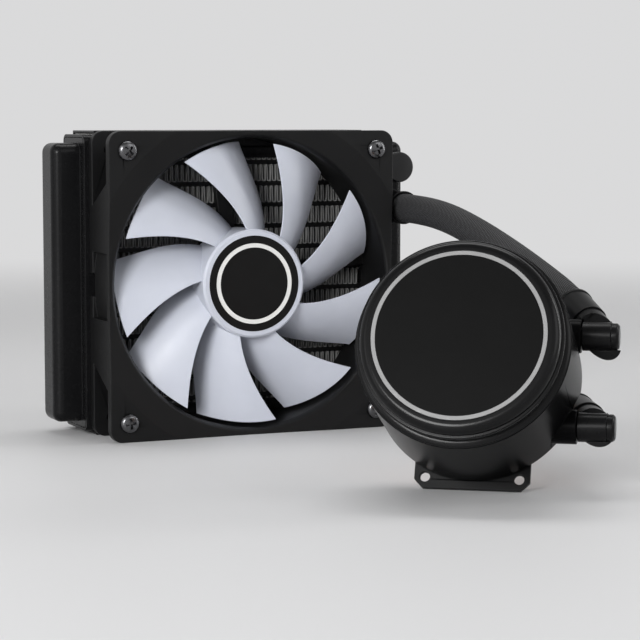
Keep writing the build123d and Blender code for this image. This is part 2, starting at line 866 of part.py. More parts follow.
# Pump body: a wet chamber below, a dry bay above, and the can of the rotor between them
stator_seat_top = bay_bottom + stator_seat_height
stator_inner = can_radius + seat_clearance
with BuildPart() as pump_body:
    with BuildSketch(pump_section):
        with BuildLine():
            Polyline(
                (chamber_radius, 0),
                (body_radius - body_base_chamfer, 0),
                (body_radius, body_base_chamfer),
                (body_radius, body_height),
                (light_ledge_radius, body_height),
                (light_ledge_radius, body_height - light_board_thickness),
                (board_ledge_radius, body_height - light_board_thickness),
                (board_ledge_radius, board_ledge_height),
                (bay_radius, board_ledge_height),
                (bay_radius, bay_bottom),
                (pump_stator_radius, bay_bottom),
                (pump_stator_radius, stator_seat_top),
                (pump_stator_radius - pole_shoe_thickness, stator_seat_top),
                (pump_stator_radius - pole_shoe_thickness, bay_bottom),
                (can_radius, bay_bottom),
                (can_radius, can_height + can_wall),
                (0, can_height + can_wall),
                (0, can_height),
                (can_radius - can_wall, can_height),
                (can_radius - can_wall, chamber_height),
                (chamber_radius, chamber_height),
                close=True,
            )
        make_face()
    revolve(axis=pump_axis)
    with BuildSketch(pump_plane(can_height)):
        Circle(shaft_socket_radius)
        Circle(shaft_radius, mode=Mode.SUBTRACT)
    extrude(amount=-shaft_socket_depth)
    for rise, way in branch_ways.values():
        with BuildSketch(branch_plane(rise, way, relief_start)):
            Circle(relief_radius)
        extrude(amount=relief_length, mode=Mode.SUBTRACT)
    for rise, way in branch_ways.values():
        with BuildSketch(port_plane(rise, chamber_radius)):
            Circle(port_collar_radius)
        extrude(amount=port_collar_reach - chamber_radius)
    for rise, way in branch_ways.values():
        with BuildSketch(port_plane(rise, port_bore_start)):
            Circle(spigot_radius + running_clearance)
        extrude(amount=port_collar_reach - port_bore_start, mode=Mode.SUBTRACT)
        with BuildSketch(port_plane(rise, port_bore_start)):
            Circle(snap_bore_radius)
        extrude(amount=snap_shoulder - port_bore_start, mode=Mode.SUBTRACT)
    with BuildSketch(pump_plane()):
        with GridLocations(2 * cold_screw_side, 2 * cold_screw_reach, 2, 2):
            Circle(cold_screw_radius)
    extrude(amount=cold_screw_depth, mode=Mode.SUBTRACT)
    slot_centre = pump_base + pump_out * cable_slot_rise + pump_up * (bay_radius - cable_slot_overlap)
    with BuildSketch(Plane(origin=slot_centre, x_dir=pump_side, z_dir=pump_up)):
        SlotOverall(cable_slot_width, cable_slot_height)
    extrude(amount=body_radius - bay_radius + 2 * cable_slot_overlap, mode=Mode.SUBTRACT)
finish(pump_body, "pump_body")

# Bezel, light ring and face
ring_bore = face_ring_outer + seat_clearance
skirt_bore = face_ring_outer + face_ring_skirt + seat_clearance
with BuildPart() as pump_bezel:
    with BuildSketch(pump_section):
        with BuildLine():
            Polyline(
                (bezel_radius - bezel_round, bezel_height),
                (ring_bore, bezel_height),
                (ring_bore, face_ring_step),
                (skirt_bore, face_ring_step),
                (skirt_bore, body_height),
                (step_radius, body_height),
                (step_radius, step_height),
                (groove_radius, step_height),
                (groove_radius, groove_height),
                (bezel_radius, groove_height),
                (bezel_radius, bezel_height - bezel_round),
            )
            CenterArc((bezel_radius - bezel_round, bezel_height - bezel_round), bezel_round, 0, 90)
        make_face()
    revolve(axis=pump_axis)
finish(pump_bezel, "pump_bezel")

skirt_outer = skirt_bore - seat_clearance
skirt_inner = face_ring_inner - face_ring_skirt
with BuildPart() as face_light_ring:
    ring(face_ring_bottom, face_ring_step - face_ring_bottom, skirt_outer, skirt_inner)
    ring(face_ring_step, face_height - face_ring_step, face_ring_outer, face_ring_inner)
finish(face_light_ring, "face_light_ring")

with BuildPart() as pump_face:
    with BuildSketch(pump_plane(face_ring_step)):
        Circle(face_ring_inner - seat_clearance)
    extrude(amount=face_height - face_ring_step)
finish(pump_face, "pump_face")

board_bottom = body_height - light_board_thickness
with BuildPart() as light_board:
    ring(board_bottom, light_board_thickness, light_ledge_radius - seat_clearance, light_board_inner)
    with BuildSketch(pump_plane(body_height)):
        with PolarLocations(light_circle, light_count):
            Rectangle(light_size, light_size)
    extrude(amount=light_height)
finish(light_board, "light_board")

with BuildPart() as pump_circuit_board:
    with BuildSketch(pump_plane(board_ledge_height)):
        Circle(board_ledge_radius - seat_clearance)
    extrude(amount=board_thickness)
finish(pump_circuit_board, "pump_circuit_board")

# Pump motor round the can: a closed ring with arms, and pole shoes near the can
shoe_outer = stator_inner + pole_shoe_thickness
with BuildPart() as pump_stator_core:
    with BuildSketch(pump_plane(stator_seat_top)):
        Circle(pump_stator_radius)
        Circle(pump_stator_radius - stator_ring_wall, mode=Mode.SUBTRACT)
        Circle(shoe_outer)
        with PolarLocations(stator_inner, pump_stator_poles, start_angle=180 / pump_stator_poles):
            Rectangle(fan_shoe_gap_depth, pump_shoe_gap, mode=Mode.SUBTRACT)
        with PolarLocations((stator_inner + pump_stator_radius) / 2, pump_stator_poles):
            Rectangle(pump_stator_radius - stator_inner - pole_shoe_thickness, pump_arm_width)
        Circle(stator_inner, mode=Mode.SUBTRACT)
    extrude(amount=pump_stator_height)
finish(pump_stator_core, "pump_stator_core")

with BuildPart() as pump_coils:
    windings(
        pump_plane,
        stator_seat_top,
        pump_stator_height,
        shoe_outer + coil_end_gap,
        pump_stator_radius - stator_ring_wall - coil_end_gap,
        pump_stator_poles,
        pump_arm_width,
    )
finish(pump_coils, "pump_coils")

# Impeller with curved vanes, its magnet, and the shaft that they turn on
vane_bottom = impeller_bottom + impeller_plate
vane_start = Vector(stem_radius - vane_thickness, 0)
vane_end = Vector(impeller_radius + vane_thickness, 0).rotate(Axis.Z, -vane_sweep)
vane_middle = Vector((stem_radius + impeller_radius) / 2, 0).rotate(Axis.Z, -vane_sweep / 3)
with BuildPart() as impeller:
    with BuildSketch(pump_plane(vane_bottom)):
        with PolarLocations(0, vane_count):
            with BuildLine(mode=Mode.PRIVATE) as vane_line:
                ThreePointArc(vane_start, vane_middle, vane_end)
            trace(vane_line.line, line_width=vane_thickness)
        Circle(impeller_radius, mode=Mode.INTERSECT)
    extrude(amount=vane_height)
    with BuildSketch(pump_plane(impeller_bottom)):
        Circle(impeller_radius)
    extrude(amount=impeller_plate)
    with BuildSketch(pump_plane(impeller_bottom)):
        Circle(stem_radius)
    extrude(amount=stem_top - impeller_bottom)
    with BuildSketch(pump_plane(impeller_bottom)):
        Circle(shaft_radius + running_clearance)
    extrude(amount=stem_top - impeller_bottom, mode=Mode.SUBTRACT)
finish(impeller, "impeller")

with BuildPart() as impeller_magnet:
    ring(rotor_magnet_bottom, rotor_magnet_length, rotor_magnet_radius, stem_radius + seat_clearance)
finish(impeller_magnet, "impeller_magnet")

volute_top = volute_plate_height + volute_plate_thickness
shaft_seat = volute_top - shaft_socket_depth
with BuildPart() as impeller_shaft:
    with BuildSketch(pump_plane(shaft_seat)):
        Circle(shaft_radius)
    extrude(amount=can_height - shaft_seat)
finish(impeller_shaft, "impeller_shaft")

# Chamber floor: gasket, volute plate with two jets, cold plate with fine ribs
gasket_outer = chamber_radius - seat_clearance
gasket_inner = gasket_outer - gasket_width
with BuildPart() as base_gasket:
    ring(0.0, gasket_thickness, gasket_outer, gasket_inner)
finish(base_gasket, "base_gasket")

with BuildPart() as volute_plate:
    with BuildSketch(pump_plane(gasket_thickness)):
        Circle(gasket_outer)
    extrude(amount=volute_top - gasket_thickness)
    with BuildSketch(pump_plane(gasket_thickness)):
        Circle(gasket_inner)
    extrude(amount=volute_plate_height - gasket_thickness, mode=Mode.SUBTRACT)
    with BuildSketch(pump_plane(volute_top)):
        Circle(volute_boss_radius)
    extrude(amount=volute_boss_height)
    with BuildSketch(pump_plane(shaft_seat)):
        Circle(shaft_radius)
    extrude(amount=shaft_socket_depth + volute_boss_height, mode=Mode.SUBTRACT)
    with BuildSketch(pump_plane(volute_plate_height)):
        with Locations((0, jet_offset), (0, -jet_offset)):
            SlotOverall(jet_length, jet_width)
    extrude(amount=volute_plate_thickness, mode=Mode.SUBTRACT)
finish(volute_plate, "volute_plate")

cold_face = -plate_thickness - cold_plate_thickness
cold_screw_top = cold_face + cold_screw_recess + cold_screw_head_height
with BuildPart() as cold_plate:
    with BuildSketch(pump_plane(cold_face)):
        Circle(cold_plate_radius)
    extrude(amount=cold_plate_thickness)
    cold_rims = cold_plate.edges().filter_by(GeomType.CIRCLE)
    chamfer(cold_rims.sort_by_distance(pump_plane(cold_face).origin)[0], length=cold_plate_edge)
    with BuildSketch(pump_plane(-plate_thickness)):
        Circle(plate_bore_radius - cold_boss_clearance)
    extrude(amount=plate_thickness)
    with BuildSketch(pump_plane()):
        with GridLocations(rib_field / rib_count, 0, rib_count, 1):
            Rectangle(rib_thickness, rib_field)
    extrude(amount=rib_height)
    with BuildSketch(pump_plane(cold_face)):
        with GridLocations(2 * cold_screw_side, 2 * cold_screw_reach, 2, 2):
            Circle(cold_screw_radius + seat_clearance)
    extrude(amount=cold_plate_thickness, mode=Mode.SUBTRACT)
    with BuildSketch(pump_plane(cold_face)):
        with GridLocations(2 * cold_screw_side, 2 * cold_screw_reach, 2, 2):
            Circle(cold_screw_head_radius + seat_clearance)
    extrude(amount=cold_screw_recess + cold_screw_head_height, mode=Mode.SUBTRACT)
finish(cold_plate, "cold_plate")

with BuildPart() as cold_plate_screws:
    with BuildSketch(pump_plane(cold_screw_top)):
        with GridLocations(2 * cold_screw_side, 2 * cold_screw_reach, 2, 2):
            Circle(cold_screw_head_radius)
    extrude(amount=-cold_screw_head_height)
    with BuildSketch(pump_plane(cold_screw_top)):
        with GridLocations(2 * cold_screw_side, 2 * cold_screw_reach, 2, 2):
            Circle(cold_screw_radius - seat_clearance)
    extrude(amount=cold_screw_depth - screw_tip_clearance - cold_screw_top)
finish(cold_plate_screws, "cold_plate_screws")

# Mounting plate between the body and the cold plate, with two lugs at each end
with BuildPart() as mounting_plate:
    with BuildSketch(pump_plane(-plate_thickness)):
        plate_outline = Rectangle(plate_width, 2 * plate_reach)
        chamfer(plate_outline.vertices(), length=plate_corner)
        Circle(plate_middle_radius)
        Circle(plate_bore_radius, mode=Mode.SUBTRACT)
        with GridLocations(2 * lug_hole_side, 2 * lug_hole_reach, 2, 2):
            Circle(lug_hole_radius, mode=Mode.SUBTRACT)
        with GridLocations(2 * cold_screw_side, 2 * cold_screw_reach, 2, 2):
            Circle(cold_screw_radius + seat_clearance, mode=Mode.SUBTRACT)
    extrude(amount=plate_thickness)
finish(mounting_plate, "mounting_plate")

# Swivel elbows: a spigot in the port, a barrel, and a slanting branch that carries the hose
barrel_start = port_collar_reach + elbow_gap
for name, (rise, way) in branch_ways.items():
    centre = port_plane(rise, branch_reach).origin
    with BuildPart() as elbow:
        with BuildSketch(branch_plane(rise, way, -branch_length)):
            Circle(branch_radius)
        extrude(amount=2 * branch_length)
        split(bisect_by=Plane(origin=centre, z_dir=pump_out), keep=Keep.BOTTOM)
        with BuildSketch(port_plane(rise, barrel_start)):
            Circle(port_collar_radius + elbow_gap)
        extrude(amount=-port_collar_reach, mode=Mode.SUBTRACT)
        with BuildSketch(port_plane(rise, barrel_start)):
            Circle(elbow_radius)
        extrude(amount=elbow_end - barrel_start)
        with BuildSketch(port_plane(rise, spigot_start)):
            Circle(spigot_radius)
        extrude(amount=barrel_start - spigot_start)
        with BuildSketch(port_plane(rise, spigot_start)):
            Circle(snap_lip_radius)
        extrude(amount=snap_lip_length)
        with BuildSketch(port_plane(rise, seal_start)):
            Circle(spigot_radius + running_clearance)
            Circle(spigot_radius - seal_depth, mode=Mode.SUBTRACT)
        extrude(amount=seal_width, mode=Mode.SUBTRACT)
        barb(branch_plane(rise, way, branch_length), ferrule_length - ferrule_back)
        with BuildSketch(port_plane(rise, spigot_start)):
            Circle(flow_radius)
        extrude(amount=elbow_end - spigot_start, mode=Mode.SUBTRACT)
        with BuildSketch(branch_plane(rise, way)):
            Circle(flow_radius)
        extrude(amount=branch_length + ferrule_length, mode=Mode.SUBTRACT)
        with BuildSketch(port_plane(rise, elbow_end)):
            Circle(elbow_plug_radius + seat_clearance)
        extrude(amount=-elbow_plug_length, mode=Mode.SUBTRACT)
        with BuildSketch(port_plane(rise, elbow_end)):
            Circle(elbow_cap_radius + seat_clearance)
        extrude(amount=branch_radius, mode=Mode.SUBTRACT)
    finish(elbow, f"elbow_{name}")
    with BuildPart() as elbow_cap:
        with BuildSketch(port_plane(rise, elbow_end)):
            Circle(elbow_cap_radius)
        extrude(amount=elbow_cap_end - elbow_end)
        cap_edges = elbow_cap.edges().sort_by(Axis(centre, pump_side))
        chamfer(cap_edges[-1], length=elbow_cap_chamfer)
        with BuildSketch(port_plane(rise, elbow_end)):
            Circle(elbow_plug_radius)
        extrude(amount=-elbow_plug_length)
    finish(elbow_cap, f"elbow_cap_{name}")
    with BuildPart() as port_seal:
        with BuildSketch(port_plane(rise, seal_start + seat_clearance)):
            Circle(spigot_radius + running_clearance / 2)
            Circle(spigot_radius - seal_depth + seat_clearance, mode=Mode.SUBTRACT)
        extrude(amount=seal_width - 2 * seat_clearance)
    finish(port_seal, f"port_seal_{name}")
    with BuildPart() as pump_ferrule:
        ferrule(branch_plane(rise, way, branch_length))
    finish(pump_ferrule, f"ferrule_pump_{name}")

# Hoses: points chosen along each one, from its fitting on the tank to its branch on the pump
hose_points = {
    "upper": [
        (68.3, -43, 88.5),
        (68.5, -70, 86.4),
        (67.9, -98, 80.9),
        (66.3, -126, 74.5),
        (64.0, -152, 68.2),
    ],
    "lower": [
        (68.3, -43, 31.5),
        (68.5, -73, 33.0),
        (67.6, -104, 34.4),
        (65.2, -135, 34.0),
        (60.8, -162, 30.6),
    ],
}
mouth = ferrule_back + hose_seat_gap

for name, points in hose_points.items():
    rise, way = branch_ways[name]
    route = [front_plane(fitting_reach, fitting_heights[name], fitting_collar_length + mouth).origin]
    route += [Vector(*point) for point in points]
    route += [branch_plane(rise, way, distance).origin for distance in (branch_run, branch_length + mouth)]
    radii = []
    for before, corner, after in zip(route, route[1:], route[2:]):
        half_turn = math.radians((corner - before).get_angle(after - corner)) / 2
        shorter = min((corner - before).length, (after - corner).length)
        radii.append(corner_share * shorter / math.tan(half_turn))
    with BuildPart() as hose:
        with BuildLine() as centreline:
            FilletPolyline(*route, radius=radii)
        with BuildSketch(Plane(origin=route[0], z_dir=route[1] - route[0])):
            Circle(hose_radius)
            Circle(hose_bore_radius, mode=Mode.SUBTRACT)
        sweep()
    finish(hose, f"hose_{name}")
    section_area = math.pi * (hose_radius**2 - hose_bore_radius**2)
    length = sum(edge.length for edge in centreline.edges())
    print(f"hose_{name}: length {length:.1f}, smallest radius {min(radii):.1f}")
    print(f"hose_{name}: volume over section times length {hose.part.volume / section_area / length:.5f}")
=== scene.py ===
"""Closed-loop processor cooler: a radiator with one fan, and a round pump on two braided hoses.

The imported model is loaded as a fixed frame. Its nodes keep their shapes and get their finishes here.
The pieces whose detail is too fine for the solids are modelled here and stand in for their nodes.
"""

import logging
import math
import random
from dataclasses import dataclass
from enum import Enum
from functools import cache
from typing import ClassVar

import bmesh
import bpy
from mathutils import Matrix, Vector


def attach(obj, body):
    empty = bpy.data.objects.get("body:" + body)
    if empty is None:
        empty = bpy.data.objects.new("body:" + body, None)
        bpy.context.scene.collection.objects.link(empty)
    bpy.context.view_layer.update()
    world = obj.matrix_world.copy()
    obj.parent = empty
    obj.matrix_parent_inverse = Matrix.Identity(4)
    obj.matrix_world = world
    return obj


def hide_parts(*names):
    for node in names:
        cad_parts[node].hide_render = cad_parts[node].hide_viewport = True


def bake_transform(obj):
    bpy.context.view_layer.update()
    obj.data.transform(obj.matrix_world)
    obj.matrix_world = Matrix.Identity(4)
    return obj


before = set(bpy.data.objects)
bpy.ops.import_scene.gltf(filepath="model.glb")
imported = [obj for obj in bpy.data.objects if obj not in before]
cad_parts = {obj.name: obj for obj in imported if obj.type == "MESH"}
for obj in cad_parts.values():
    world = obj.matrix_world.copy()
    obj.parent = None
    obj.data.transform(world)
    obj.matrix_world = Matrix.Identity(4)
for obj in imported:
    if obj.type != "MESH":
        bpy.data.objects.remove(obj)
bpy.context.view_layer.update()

LOG = logging.getLogger("cooler")
MM = 0.001
FULL_TURN = 2 * math.pi
MERGE_MM = 0.0005
WELD_MM = 0.002
SOFT_EDGE_STEPS = 3
SOFT_EDGE_ANGLE = math.radians(38)

FAN_BACK = -13.5
CENTRE_HEIGHT = 60.0

PUMP_TURN = math.radians(-36.1)
PUMP_LEAN = math.radians(24.0)
PUMP_ACROSS = 25.2
PUMP_DEPTH = -177.8
PLATE_REACH = 38.2
PLATE_THICKNESS = 2.0
PUMP_SIDE = Vector((math.cos(PUMP_TURN), math.sin(PUMP_TURN), 0.0))
PUMP_OUT = Vector(
    (
        math.sin(PUMP_TURN) * math.cos(PUMP_LEAN),
        -math.cos(PUMP_TURN) * math.cos(PUMP_LEAN),
        math.sin(PUMP_LEAN),
    )
)
PUMP_UP = PUMP_OUT.cross(PUMP_SIDE)
PUMP_RISE = PLATE_REACH * math.cos(PUMP_LEAN) + PLATE_THICKNESS * math.sin(PUMP_LEAN)
PUMP_BASE = Vector((PUMP_ACROSS, PUMP_DEPTH, PUMP_RISE))


def place(origin: Vector, x_axis: Vector, z_axis: Vector) -> Matrix:
    """Makes the matrix that puts a piece modelled round its own z axis in its place.

    Args:
        origin: Where the piece's own origin goes, in millimetres.
        x_axis: Where its x axis points.
        z_axis: Where its z axis points.

    Returns:
        The matrix, in millimetres.
    """
    z_axis = z_axis.normalized()
    y_axis = z_axis.cross(x_axis).normalized()
    x_axis = y_axis.cross(z_axis)
    matrix = Matrix((x_axis, y_axis, z_axis)).transposed().to_4x4()
    matrix.translation = origin
    return matrix


FAN_MATRIX = place(Vector((0, FAN_BACK, CENTRE_HEIGHT)), Vector((1, 0, 0)), Vector((0, -1, 0)))
PUMP_MATRIX = place(PUMP_BASE, PUMP_SIDE, PUMP_OUT)


def vertices_of(geometry: list) -> list[bmesh.types.BMVert]:
    """Returns the vertices among the vertices, edges and faces of an operator's result."""
    return [item for item in geometry if isinstance(item, bmesh.types.BMVert)]


class Hose(Enum):
    """The two hoses, by their fitting on the tank."""

    UPPER = "upper"
    LOWER = "lower"


@dataclass(frozen=True)
class Branch:
    """One slanting branch of a swivel elbow.

    Attributes:
        rise: Height of its port along the pump's up direction, in millimetres.
        way: Its direction in the pump's side, up and out directions.
        reach: How far from the pump's axis it meets its port's axis, in millimetres.
        port_height: Height of the ports above the pump's foot, in millimetres.
    """

    rise: float
    way: tuple[float, float, float]
    reach: float = 41.5
    port_height: float = 7.0

    def foot(self) -> Vector:
        """Returns the point where the branch meets its port's axis, in millimetres."""
        return PUMP_BASE + PUMP_SIDE * self.reach + PUMP_UP * self.rise + PUMP_OUT * self.port_height

    def direction(self) -> Vector:
        """Returns the branch's direction in the object's frame."""
        side, up, out = self.way
        return (PUMP_SIDE * side + PUMP_UP * up + PUMP_OUT * out).normalized()

    def point(self, distance: float) -> Vector:
        """Returns the point at a distance along the branch, in millimetres."""
        return self.foot() + self.direction() * distance


BRANCHES = {
    Hose.UPPER: Branch(14.5, (-0.44, 0.637, -0.633)),
    Hose.LOWER: Branch(-17.4, (-0.359, 0.449, -0.818)),
}
FITTING_HEIGHTS = {Hose.UPPER: 88.5, Hose.LOWER: 31.5}


class Bench:
    """Wires one material's shader nodes.

    Attributes:
        NOISE_MIDDLE: The values between which most of a noise lies.
        MIX_SHARE: The socket of a colour mix that takes the share. The next three are its colours and result.
    """

    NOISE_MIDDLE = (0.3, 0.7)
    MIX_SHARE = 0
    MIX_FIRST = 6
    MIX_SECOND = 7
    MIX_RESULT = 2

    def __init__(self, name: str) -> None:
        """Starts a material with one principled shader.

        Args:
            name: The material's name.
        """
        self.material = bpy.data.materials.new(name)
        self.material.use_nodes = True
        self.tree = self.material.node_tree
        self.tree.nodes.clear()
        self.output = self.add("ShaderNodeOutputMaterial")
        self.shader = self.add("ShaderNodeBsdfPrincipled")
        self.join(self.shader, "BSDF", self.output, "Surface")

    def add(self, kind: str, **values: object) -> bpy.types.Node:
        """Adds a node and sets its properties.

        Args:
            kind: The node's type.
            **values: Properties of the node, by name.

        Returns:
            The new node.
        """
        node = self.tree.nodes.new(kind)
        for name, value in values.items():
            setattr(node, name, value)
        return node

    def join(
        self, source: bpy.types.Node, output: str | int, target: bpy.types.Node, socket: str | int
    ) -> None:
        """Links one node's output to another's input."""
        self.tree.links.new(source.outputs[output], target.inputs[socket])

    def coordinates(self, scale: tuple[float, float, float] = (1, 1, 1)) -> bpy.types.Node:
        """Adds object coordinates through a mapping.

        Args:
            scale: The pattern's scale along each axis.

        Returns:
            The mapping node.
        """
        source = self.add("ShaderNodeTexCoord")
        mapping = self.add("ShaderNodeMapping", vector_type="TEXTURE")
        mapping.inputs["Scale"].default_value = [1 / value for value in scale]
        self.join(source, "Object", mapping, "Vector")
        return mapping

    def noise(self, vector: bpy.types.Node, size_mm: float, detail: float = 3.0) -> bpy.types.Node:
        """Adds noise of a given size in millimetres.

        Args:
            vector: The node that gives the coordinates.
            size_mm: The size of its features.
            detail: How many finer layers it has.

        Returns:
            The noise node.
        """
        node = self.add("ShaderNodeTexNoise")
        node.inputs["Scale"].default_value = 1 / (size_mm * MM)
        node.inputs["Detail"].default_value = detail
        self.join(vector, "Vector", node, "Vector")
        return node

    def remap(
        self,
        source: bpy.types.Node,
        output: str,
        given: tuple[float, float],
        wanted: tuple[float, float] = (0.0, 1.0),
        curve: str = "LINEAR",
    ) -> bpy.types.Node:
        """Maps a value from one range to another, and stops at its ends.

        Args:
            source: The node that gives the value.
            output: The name of its output.
            given: The range of the value.
            wanted: What the two ends of that range become.
            curve: How it runs from one end to the other.

        Returns:
            The mapping node.
        """
        node = self.add("ShaderNodeMapRange", interpolation_type=curve)
        for end, value in zip(("From Min", "From Max", "To Min", "To Max"), (*given, *wanted)):
            node.inputs[end].default_value = value
        self.join(source, output, node, "Value")
        return node

    def colour(self, share: bpy.types.Node, first: tuple, second: tuple) -> None:
        """Makes the shader's base colour a mix of two.

        Args:
            share: The mapping node that gives the share of the second colour.
            first: The colour at 0.
            second: The colour at 1.
        """
        node = self.add("ShaderNodeMix", data_type="RGBA")
        node.inputs[self.MIX_FIRST].default_value = (*first, 1.0)
        node.inputs[self.MIX_SECOND].default_value = (*second, 1.0)
        self.join(share, "Result", node, self.MIX_SHARE)
        self.join(node, self.MIX_RESULT, self.shader, "Base Color")

    def relief(self, noise: bpy.types.Node, depth_mm: float, strength: float) -> None:
        """Adds relief to the shader's normal.

        Args:
            noise: The noise that gives the height.
            depth_mm: The height of the relief, in millimetres.
            strength: How strongly it shows.
        """
        bump = self.add("ShaderNodeBump")
        bump.inputs["Distance"].default_value = depth_mm * MM
        bump.inputs["Strength"].default_value = strength
        self.join(noise, "Fac", bump, "Height")
        self.join(bump, "Normal", self.shader, "Normal")


class Lay(Enum):
    """How a finish's fine grain lies."""

    EVEN = (1.0, 1.0, 1.0)
    ALONG_X = (0.06, 1.0, 1.0)
    ALONG_Z = (1.0, 1.0, 0.06)


@dataclass(frozen=True)
class Finish:
    """One surface finish with slow colour variation, uneven gloss and fine grain.

    Attributes:
        name: The material's name.
        colour: Its main colour.
        shade: The colour that varies with it.
        patch_mm: The size of the colour's patches.
        roughness: The smallest and the largest roughness.
        grain_mm: The size of the grain.
        depth_mm: The depth of the grain.
        metallic: 1 for bare metal, 0 for anything else.
        specular: The shader's specular level.
        subsurface: How much light passes under the surface.
        lay: How the grain lies.
        strength: How strongly the grain shows.
    """

    PATCH_DETAIL: ClassVar[float] = 4.0
    GRAIN_DETAIL: ClassVar[float] = 2.0
    GLOSS_DETAIL: ClassVar[float] = 3.0
    GLOSS_GRAINS: ClassVar[float] = 4.0
    GLOW_DEPTH: ClassVar[tuple[float, float, float]] = (0.004, 0.004, 0.005)

    name: str
    colour: tuple[float, float, float]
    shade: tuple[float, float, float]
    patch_mm: float
    roughness: tuple[float, float]
    grain_mm: float = 0.3
    depth_mm: float = 0.02
    metallic: float = 0.0
    specular: float = 0.5
    subsurface: float = 0.0
    lay: Lay = Lay.EVEN
    strength: float = 0.5

    def build(self) -> bpy.types.Material:
        """Builds the material.

        Returns:
            The new material.
        """
        bench = Bench(self.name)
        laid = bench.coordinates(self.lay.value)
        patches = bench.noise(bench.coordinates(), self.patch_mm, self.PATCH_DETAIL)
        grain = bench.noise(laid, self.grain_mm, self.GRAIN_DETAIL)
        uneven = bench.noise(laid, self.grain_mm * self.GLOSS_GRAINS, self.GLOSS_DETAIL)
        bench.colour(bench.remap(patches, "Fac", bench.NOISE_MIDDLE), self.colour, self.shade)
        gloss = bench.remap(uneven, "Fac", bench.NOISE_MIDDLE, self.roughness)
        bench.join(gloss, "Result", bench.shader, "Roughness")
        bench.relief(grain, self.depth_mm, self.strength)
        inputs = bench.shader.inputs
        inputs["Metallic"].default_value = self.metallic
        inputs["Specular IOR Level"].default_value = self.specular
        inputs["Subsurface Weight"].default_value = self.subsurface
        inputs["Subsurface Radius"].default_value = self.GLOW_DEPTH
        return bench.material


@dataclass(frozen=True)
class BraidFinish:
    """The fine braid of the hoses. The tube's own attribute says where a strand's crest is.

    Attributes:
        name: The material's name.
        strand_and_glint: The strands' own colour on their crests, lightened into a painted highlight.
        shadow: The painted shade between the strands.
        coloured: The heights from which and up to which the colour changes.
        glossy: The heights from which and up to which the roughness changes.
        roughness: The roughness between the strands and on their crests.
        specular: The shader's specular level.
        fibre_mm: The size of the single fibres.
        fibre_depth_mm: The depth between them.
        strength: How strongly they show.
    """

    name: str = "woven_braid"
    strand_and_glint: tuple[float, float, float] = (0.11, 0.11, 0.115)
    shadow: tuple[float, float, float] = (0.001, 0.001, 0.0012)
    coloured: tuple[float, float] = (0.6, 0.98)
    glossy: tuple[float, float] = (0.55, 0.95)
    roughness: tuple[float, float] = (0.95, 0.24)
    specular: float = 0.4
    fibre_mm: float = 0.3
    fibre_depth_mm: float = 0.03
    strength: float = 0.5

    def build(self) -> bpy.types.Material:
        """Builds the material.

        Returns:
            The new material.
        """
        bench = Bench(self.name)
        crest = bench.add("ShaderNodeAttribute", attribute_name="crest", attribute_type="GEOMETRY")
        # Painted shade between the strands and a painted highlight on their crests, by the crest's height.
        bench.colour(bench.remap(crest, "Fac", self.coloured), self.shadow, self.strand_and_glint)
        gloss = bench.remap(crest, "Fac", self.glossy, self.roughness)
        bench.join(gloss, "Result", bench.shader, "Roughness")
        bench.relief(bench.noise(bench.coordinates(), self.fibre_mm), self.fibre_depth_mm, self.strength)
        bench.shader.inputs["Specular IOR Level"].default_value = self.specular
        return bench.material


def grey(level: float, blue: float | None = None) -> tuple[float, float, float]:
    """Returns a grey, or one whose blue differs a little from its red and green."""
    return level, level, level if blue is None else blue


